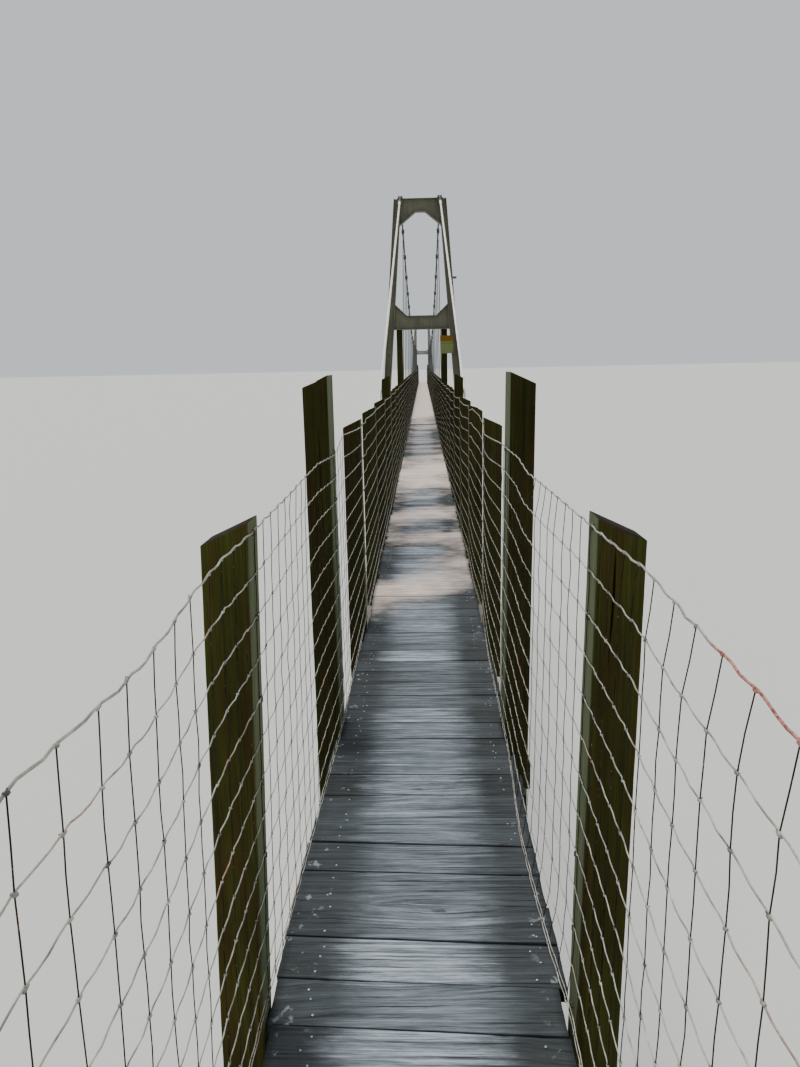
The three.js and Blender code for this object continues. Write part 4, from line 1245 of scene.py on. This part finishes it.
def main_cable(name, side, seed, replaced):
    """The cable over both saddles, with a forged clamp and a round hanger rod at each crossbeam."""
    rng = np.random.default_rng(seed)
    cable, clamps, rods = Shape(), Shape(), Shape()
    reach = TOWER_Y - CABLE_BEND
    span = [(side * main_x(y), y, main_z(y)) for y in np.linspace(-reach, reach, round(2 * reach / LAY_STEP))]
    # over the tower the cable bends down to the backstay and lies level on its plate
    bend = [(run, backstay_z(run)) for run in (CABLE_JOINT, 97, 87)]
    bend += [(79, SADDLE_Z - 3.1), (71, SADDLE_Z - 0.6)]
    bend += [(run, SADDLE_Z) for run in (60, 25, -25, -60)]
    start = [(side * backstay_x(run), -(TOWER_Y + run), z) for run, z in bend]
    rope(cable, start + span + [(x, -y, z) for x, y, z in reversed(start)])
    for bay in range(25):
        y = (bay + 1) * BAY - TOWER_Y + POST_DEPTH / 2 + CROSSBEAM_WIDTH / 2
        x, z = side * main_x(y), main_z(y)
        slope = math.atan2(main_z(y + 50) - main_z(y - 50), 100)
        along = np.array([0, math.cos(slope), math.sin(slope)])
        rise = np.array([0, -math.sin(slope), math.cos(slope)])
        across = np.array([1.0, 0, 0])
        middle = np.array([x, y, z])
        # two forged halves hug the cable, with ears for the bolts above and below
        lower = [(4, -42), (20, -42), (24, -34), (25, -14)]
        half = np.array([*lower, (30, 0), *((out, -level) for out, level in reversed(lower))])
        for hand in (-1, 1):
            rings = []
            for k, grow in ((-35, 0.9), (-29, 1), (29, 1), (35, 0.9)):
                shaped = half * grow
                rings.append(middle + along * k + shaped[:, :1] * across * hand + shaped[:, 1:] * rise)
            clamps.loft(rings)
        for shift in (-17, 17):
            for level in (-31, 31):
                spot = middle + along * shift + rise * level
                bolt(clamps, tuple(spot + across * 23), (1, 0, 0), 7, washer=False)
                bolt(clamps, tuple(spot - across * 23), (-1, 0, 0), 7, washer=False)
        # the rod hangs from a lug and goes through the crossbeam to a nut on a plate
        foot = np.array([side * HANGER_FOOT_X, y, CROSSBEAM_BOTTOM - 46.0])
        top = middle - rise * 38
        down = foot - top
        wobble = rng.uniform(-3, 3, 3) * (1, 1, 0)
        path = [top, top + down * 0.3 + wobble, top + down * 0.7 + wobble, foot]
        rods.tube([path], 8, 8, up=(0, 1, 0))
        direction = down / np.linalg.norm(down)
        rods.drum(top, direction, [16, 18, 18, 10], [-6, 4, 46, 62], 10)
        rods.drum(top + direction * 170, direction, [9, 13, 13, 9], [-26, -20, 20, 26], 6)
        foot_x = side * HANGER_FOOT_X
        plate_washer(clamps, (foot_x, y, CROSSBEAM_BOTTOM), (0, 0, -1), 36, 8)
        plate_washer(clamps, (foot_x, y, CROSSBEAM_TOP), (0, 0, 1), 30, 6)
        for drop in (15, 27):
            nut = (foot_x, y, CROSSBEAM_BOTTOM - drop)
            clamps.drum(nut, (0, 0, 1), [13, 14, 14, 13], [-5.5, -4, 4, 5.5], 6)
    piece(cable, name + "_strand", SHADED_STRAND, "cable_strand", replaced, sharp=60)
    piece(clamps, name + "_hanger_clamps", BOLTS, "cable_strand", replaced)
    piece(rods, name + "_hanger_rods", SHADED_STRAND, "cable_strand", replaced, sharp=60)


def backstay(name, side, turned, replaced):
    """The straight cable from the saddle to the anchor, with its socket, clips, eye and anchor plate."""
    cable, bright, dark = Shape(turned), Shape(turned), Shape(turned)

    def at(run):
        return np.array([side * backstay_x(run), -(TOWER_Y + run), backstay_z(run)])

    along = at(1) - at(0)
    along /= np.linalg.norm(along)
    runs = np.linspace(CABLE_JOINT + 0.6, ANCHOR_RUN - 330, round(ANCHOR_RUN / LAY_STEP))
    # the strand's first 330 mm below the saddle is painted dark: painted shade at the tower's top
    rope(cable, [at(run) for run in runs], wear=np.where(runs < 330, 0.9, 0.0)[None])
    # a clip and a tarred sleeve just clear of the tower, and a bright sleeve below them
    wire_clip(dark, at(190), along)
    dark.drum(at(275), along, [19, 23, 24, 24, 23, 19], [-46, -40, -30, 30, 40, 46], 14)
    bright.drum(at(385), along, [19, 25, 28, 27, 21], [-58, -50, -34, 24, 62], 14)
    # the lower end turns round a thimble in a forged eye, held by four clips
    for run in (420, 530, 640, 750):
        wire_clip(dark, at(ANCHOR_RUN - run), along)
    tail = [at(ANCHOR_RUN - run) + (0, 0, 30 if run > 360 else 12) for run in (330, 370, 480, 700, 830)]
    cable.tube([tail], 10, 8)
    end = at(ANCHOR_RUN - 300)
    angle = np.linspace(0, 2 * math.pi, 17)[:-1]
    across = np.cross(along, (1, 0, 0))
    across /= np.linalg.norm(across)
    ring = end + along * 40 + np.cos(angle)[:, None] * along * 62 + np.sin(angle)[:, None] * across * 34
    loop = np.concatenate([ring, ring[:1], ring[1:2]])
    dark.tube([loop], 12, 8, up=(1, 0, 0.01))
    rod = [end + along * 88, at(ANCHOR_RUN - 40)]
    dark.tube([rod[0] - along * 10, rod[0] + along * 20, rod[1]], 15, 10)
    dark.drum(at(ANCHOR_RUN - 130), along, [20, 25, 25, 20], [-30, -24, 24, 30], 6)
    # the anchor plate and its two cheeks on the block
    foot = at(ANCHOR_RUN)
    x, y = foot[0], foot[1]
    square = np.array([(-60, -130), (60, -130), (60, 130), (-60, 130)]) + (x, y)
    dark.slab(square, ANCHOR_TOP, ANCHOR_TOP + 18, 2, 3)
    cheek = np.array([(-110, 18), (110, 18), (80, 40), (30, 60), (-30, 60), (-80, 40)]) + (y, ANCHOR_TOP)
    for hand in (-1, 1):
        low, high = sorted((x + hand * 20, x + hand * 34))
        dark.slab(cheek, low, high, 0, 2)
    dark.drum((x, y, ANCHOR_TOP + 38), (1, 0, 0), [13, 13], [-44, 44], 10)
    for bx in (-45, 45):
        for by in (-108, 108):
            bolt(dark, (x + bx, y + by, ANCHOR_TOP + 18), (0, 0, 1), 11, tail=34)
    piece(cable, name + "_strand", SUNLIT_STRAND, "cable_strand", replaced, sharp=60)
    piece(bright, name + "_socket", BRIGHT_FIXINGS, "cable_strand", sharp=60)
    piece(dark, name + "_clips", BOLTS, "cable_strand", replaced)


# Towers


def leg_inner(z):
    """How far out the inner flange of a tower leg is; the legs lean in towards their top."""
    return LEG_TOP_X + LEG_SLOPE * (TOWER_HEIGHT - z) - LEG_WIDTH


# the rows of bolts at the top, portal and floor beams: the lowest bolt, the highest and their number
BEAM_BOLTS = (7790, 8205, 7), (5905, 6320, 7), (3190, 3345, 3)
# how high the single bolts stand on the front of each leg's web
WEB_BOLTS = (4800, 5400, 6700, 7300)


def tower_fixings(name, turned):
    """Bolts where beams meet legs, hold-down bolts, and U-bolts that keep the cables in their saddles."""
    bolts, saddles = Shape(turned), Shape(turned)
    for side in (-1, 1):
        for low, high, count in BEAM_BOLTS:
            for z in np.linspace(low, high, count):
                for y in (-TOWER_Y - 42, -TOWER_Y + 42):
                    # heads in the leg's hollow, on its inner flange, where they show from front and back
                    x = side * (leg_inner(z) + LEG_FLANGE)
                    bolt(bolts, (x, y, z), (side, 0, LEG_SLOPE), 9)
        for z in WEB_BOLTS:
            x = side * (leg_inner(z) + LEG_WIDTH / 2)
            bolt(bolts, (x, -TOWER_Y - LEG_WEB / 2, z), (0, -1, 0), 8)
        foot_x = side * (leg_inner(PIER_HEIGHT) + LEG_WIDTH / 2)
        for bx in (-105, 105):
            for by in (-105, 105):
                bolt(bolts, (foot_x + bx, -TOWER_Y + by, PIER_HEIGHT + 20), (0, 0, 1), 14, tail=48)
        # two straps over the cable, drawn down by a stud on each cheek of its plate
        for by in (-44, 44):
            x, y, z = side * CABLE_TOP_X, -TOWER_Y + by, SADDLE_Z
            angle = np.linspace(0.1, math.pi - 0.1, 7)
            bend = [(x + math.cos(t) * 22.5, y, z + math.sin(t) * 22.5 - 1.0) for t in angle]
            saddles.tube([[(x + 38, y, z + 9), *bend, (x - 38, y, z + 9)]], 4, 6, up=(0, 1, 0))
            for hand in (-1, 1):
                stud = (x + hand * 31, y, z + 6)
                saddles.drum(stud, (0, 0, 1), [12, 13, 13, 10], [-1, 2, 12, 14], 6)
                saddles.drum(stud, (0, 0, 1), [6, 6, 5], [8, 24, 26], 8)
    piece(bolts, name + "_bolts", BOLTS, "tower_steel")
    piece(saddles, name + "_saddle_u_bolts", BOLTS, "tower_steel", sharp=50)


def sign_board():
    """A bare sheet with round corners, bolted to the front of the near right leg."""
    sheet, bolts = Shape(), Shape()
    front = -TOWER_Y - LEG_DEPTH / 2
    x0, x1, z0, z1, radius = 355, 612, DECK_TOP + 1818, DECK_TOP + 2162, 22
    left, right, low, high = x0 + radius, x1 - radius, z0 + radius, z1 - radius
    outline = []
    for quarter, (cx, cz) in enumerate(((right, high), (left, high), (left, low), (right, low))):
        for k in range(6):
            angle = (quarter + k / 5) * math.pi / 2
            outline.append((cx + radius * math.cos(angle), cz + radius * math.sin(angle)))
    sheet.slab(outline, front - 4, front - 0.5, 1, 0.8)
    for z in (z0 + 60, z1 - 60):
        for x in (x1 - 20, x0 + 70):
            bolt(bolts, (x, front - 4, z), (0, -1, 0), 6)
    piece(sheet, "portal_sign_sheet", SIGN, "sign_sheet", "portal_sign")
    piece(bolts, "portal_sign_bolts", BOLTS, "sign_sheet")


# Concrete


PIER_HALF_X, PIER_HALF_Y = 1500, 500
ABUTMENT_HALF_X, ABUTMENT_LENGTH = 650, 500
ANCHOR_HALF_X, ANCHOR_BACK, ANCHOR_FRONT = 300, -36000, -34300


def cast_block(shape, low, high, seed):
    """A cast block with chamfered arrises and slightly wavy faces, built from level rings."""
    chamfer, step = 22, 160
    rings = []
    levels = np.linspace(low[2] + 30, high[2] - chamfer, max(3, round((high[2] - low[2]) / step)))
    levels = [low[2], *levels, high[2]]
    for i, z in enumerate(levels):
        inset = chamfer if i == len(levels) - 1 else 0
        x0, y0, x1, y1 = low[0] + inset, low[1] + inset, high[0] - inset, high[1] - inset
        ring = []
        corners = [(x0, y0), (x1, y0), (x1, y1), (x0, y1)]
        for (ax, ay), (bx, by) in zip(corners, corners[1:] + corners[:1]):
            length = math.hypot(bx - ax, by - ay)
            cut = chamfer / length
            for t in (cut, 0.2, 0.4, 0.6, 0.8, 1 - cut):
                ring.append((ax + (bx - ax) * t, ay + (by - ay) * t, z))
        rings.append(ring)
    rings = np.array(rings, float)
    out = rings - rings.mean((0, 1))
    out[..., 2] = 0
    out /= np.linalg.norm(out, axis=-1, keepdims=True)
    rings[1:-1] -= (out * (1 + ripple(rings, 420, seed)[..., None]) * 2.5)[1:-1]
    shape.loft(rings)


def footings(end, turned, right, left):
    """The pier under a tower, the abutment under the end of the walkway, and the backstays' anchor blocks."""
    pier, wall = Shape(turned), Shape(turned)
    low = (-PIER_HALF_X, -TOWER_Y - PIER_HALF_Y, 0)
    cast_block(pier, low, (PIER_HALF_X, -TOWER_Y + PIER_HALF_Y, PIER_HEIGHT), 31)
    low = (-ABUTMENT_HALF_X, -END_Y, 0)
    cast_block(wall, low, (ABUTMENT_HALF_X, -END_Y + ABUTMENT_LENGTH, CROSSBEAM_BOTTOM), 32)
    piece(pier, end + "_tower_pier_block", CONCRETE, "concrete", end + "_tower_pier", sharp=24)
    piece(wall, end + "_abutment_block", CONCRETE, "concrete", end + "_abutment", sharp=24)
    for side, hand in ((1, right), (-1, left)):
        block = Shape(turned)
        x = side * backstay_x(ANCHOR_RUN)
        low = (x - ANCHOR_HALF_X, ANCHOR_BACK, 0)
        cast_block(block, low, (x + ANCHOR_HALF_X, ANCHOR_FRONT, ANCHOR_TOP), 33 + side)
        name = f"{end}_{hand}_anchor"
        piece(block, name + "_cast_block", CONCRETE, "concrete", name + "_block", sharp=24)


# The bridge


def bridge_end(end, turned, seed):
    """One approach and its tower. The far end is the near end turned half round, so its hands change."""
    # the bays with a trestle in place of a post, and how high it rises over the boards
    bents = {4: 1500, 8: 1586}
    post_ys = [-(TOWER_Y + n * BAY) for n in range(1, 12) if n not in bents]
    post_ys[-1] = -END_Y + POST_DEPTH / 2
    fine_to = FINE_TO if not turned else -END_Y
    fence_end = -TOWER_Y + LEG_DEPTH / 2 + PORTAL_DEPTH / 2
    laid = PLAIN_BOARDS if turned else OLD_BOARDS
    steps = 14 if turned else 26
    boards(end, -END_Y, -TOWER_Y, FIRST_BOARD, turned, steps, seed, laid, end + "_deck")
    beam_ys = [y + POST_DEPTH / 2 for y in post_ys]
    floor_framing(end, turned, -END_Y, -TOWER_Y, beam_ys, 2 * BAY, seed + 1, end + "_floor_frame")
    for i, (bay, height) in enumerate(bents.items()):
        name = f"{end}_trestle_{i + 1}"
        trestle(name, turned, -(TOWER_Y + bay * BAY), height, seed + 2 + i, name)
    hands = {1: "left", -1: "right"} if turned else {-1: "left", 1: "right"}
    footings(end, turned, hands[1], hands[-1])
    tower_fixings(end + "_tower", turned)
    for side, hand in hands.items():
        name = f"{end}_{hand}"
        mark = seed + 10 + side
        railing_posts(name + "_railing", side, turned, post_ys, mark, name + "_railing")
        tall = [-(TOWER_Y + n * BAY) for n in bents]
        all_posts = post_ys + [y + (TALL_DEPTH - POST_DEPTH) / 2 for y in tall] + [fence_end]
        fence(name + "_railing", side, turned, -END_Y, fence_end, all_posts, fine_to, mark + 20)
        depths = [POST_DEPTH] * len(post_ys) + [TALL_DEPTH] * len(tall)
        staples(name + "_railing", side, turned, post_ys + tall, POST_INNER, depths, mark + 40)
        portal = Shape(turned)
        rng = np.random.default_rng(mark + 60)
        back = -TOWER_Y + LEG_DEPTH / 2
        size = (PORTAL_INNER, PORTAL_WIDTH, PORTAL_DEPTH)
        standing_post(portal, side, back, *size, CROSSBEAM_BOTTOM, PORTAL_UNDER + 150, rng, slope=0.0)
        piece(portal, name + "_portal_upright", POSTS, "post_timber", name + "_portal_post", sharp=42)
        backstay(name + "_backstay", side, turned, name + "_backstay")


def main_span():
    """The walkway between the towers, which hangs from the main cables."""
    post_ys = [n * BAY - TOWER_Y for n in range(1, 26)]
    fence_end = TOWER_Y - LEG_DEPTH / 2 - PORTAL_DEPTH / 2
    portal_back = TOWER_Y - LEG_DEPTH / 2 - PORTAL_DEPTH
    beam_ys = [-portal_back, *(y + POST_DEPTH / 2 for y in post_ys), portal_back - CROSSBEAM_WIDTH]
    boards("main", -TOWER_Y, TOWER_Y, FIRST_MAIN_BOARD, False, 12, 500, PLAIN_BOARDS, "main_deck")
    floor_framing("main", False, -TOWER_Y, TOWER_Y, beam_ys, BAY + 800, 501, "main_floor_frame")
    for side, hand in ((-1, "left"), (1, "right")):
        name = f"main_{hand}"
        railing_posts(name + "_railing", side, False, post_ys, 510 + side, name + "_railing")
        fixed = [-fence_end, *post_ys, fence_end]
        fence(name + "_railing", side, False, -fence_end, fence_end, fixed, -fence_end, 520 + side)
        main_cable(name + "_cable", side, 530 + side, name + "_cable")


def paint_towers():
    """The beams, legs and saddles of both towers stay as they are packed, and get their paint."""
    for label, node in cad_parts.items():
        if any(part in label for part in ("_top_beam", "_portal_beam", "_floor_beam", "_leg", "_saddle")):
            for place in node.material_slots:
                # the far tower gets the coat painted pale as in full sun
                place.material = SUNLIT_TOWER_PAINT if label.startswith("far") else TOWER_PAINT


bridge_end("near", False, 100)
main_span()
bridge_end("far", True, 300)
sign_board()
paint_towers()


# Floor, light and camera


def studio():
    """A plain pale floor and soft light from a wide sky and one broad lamp."""
    mesh = bpy.data.meshes.new("studio_floor")
    far = 400.0
    corners = [(x * far, y * far, -0.001) for x, y in ((-1, -1), (1, -1), (1, 1), (-1, 1))]
    mesh.from_pydata(corners, [], [(0, 1, 2, 3)])
    floor = bpy.data.objects.new("studio_floor", mesh)
    bpy.context.collection.objects.link(floor)
    material, tree, shader, _ = finish("pale_floor", 0.9)
    fill(tree, shader, {"Base Color": paint("d8d8d4")})
    mesh.materials.append(material)

    world = bpy.data.worlds.new("studio_sky")
    bpy.context.scene.world = world
    world.use_nodes = True
    sky = world.node_tree.nodes["Background"]
    sky.inputs["Color"].default_value = (0.90, 0.95, 1.0, 1.0)
    sky.inputs["Strength"].default_value = 0.75

    lamp = bpy.data.lights.new("broad_lamp", "SUN")
    lamp.energy = 2.2
    lamp.angle = math.radians(30)
    lamp.color = (1.0, 0.96, 0.9)
    sun = bpy.data.objects.new("broad_lamp", lamp)
    sun.rotation_euler = Vector((0.25, -0.35, -1.0)).to_track_quat("-Z", "Y").to_euler()
    bpy.context.collection.objects.link(sun)


def camera():
    """The photograph's view: a tall frame from eye height over the planks, looking slightly down."""
    yaw, pitch, roll = 0.032, 0.2081, -0.0203
    focal_px, long_px = 799.6, 1067
    forward = Vector((-math.sin(yaw) * math.cos(pitch), math.cos(yaw) * math.cos(pitch), -math.sin(pitch)))
    right = Vector((math.cos(yaw), math.sin(yaw), 0))
    up = right.cross(forward)
    across = math.cos(roll) * right + math.sin(roll) * up
    above = -math.sin(roll) * right + math.cos(roll) * up
    turn = Matrix((across, above, -forward)).transposed().to_4x4()
    lens = bpy.data.cameras.new("photo_view")
    lens.sensor_width = 36
    lens.lens = 36 * focal_px / long_px
    lens.clip_start, lens.clip_end = 0.02, 1000
    eye = bpy.data.objects.new("photo_view", lens)
    eye.matrix_world = Matrix.Translation(Vector(CAMERA_AT) * MM) @ turn
    bpy.context.collection.objects.link(eye)
    bpy.context.scene.camera = eye


studio()
camera()
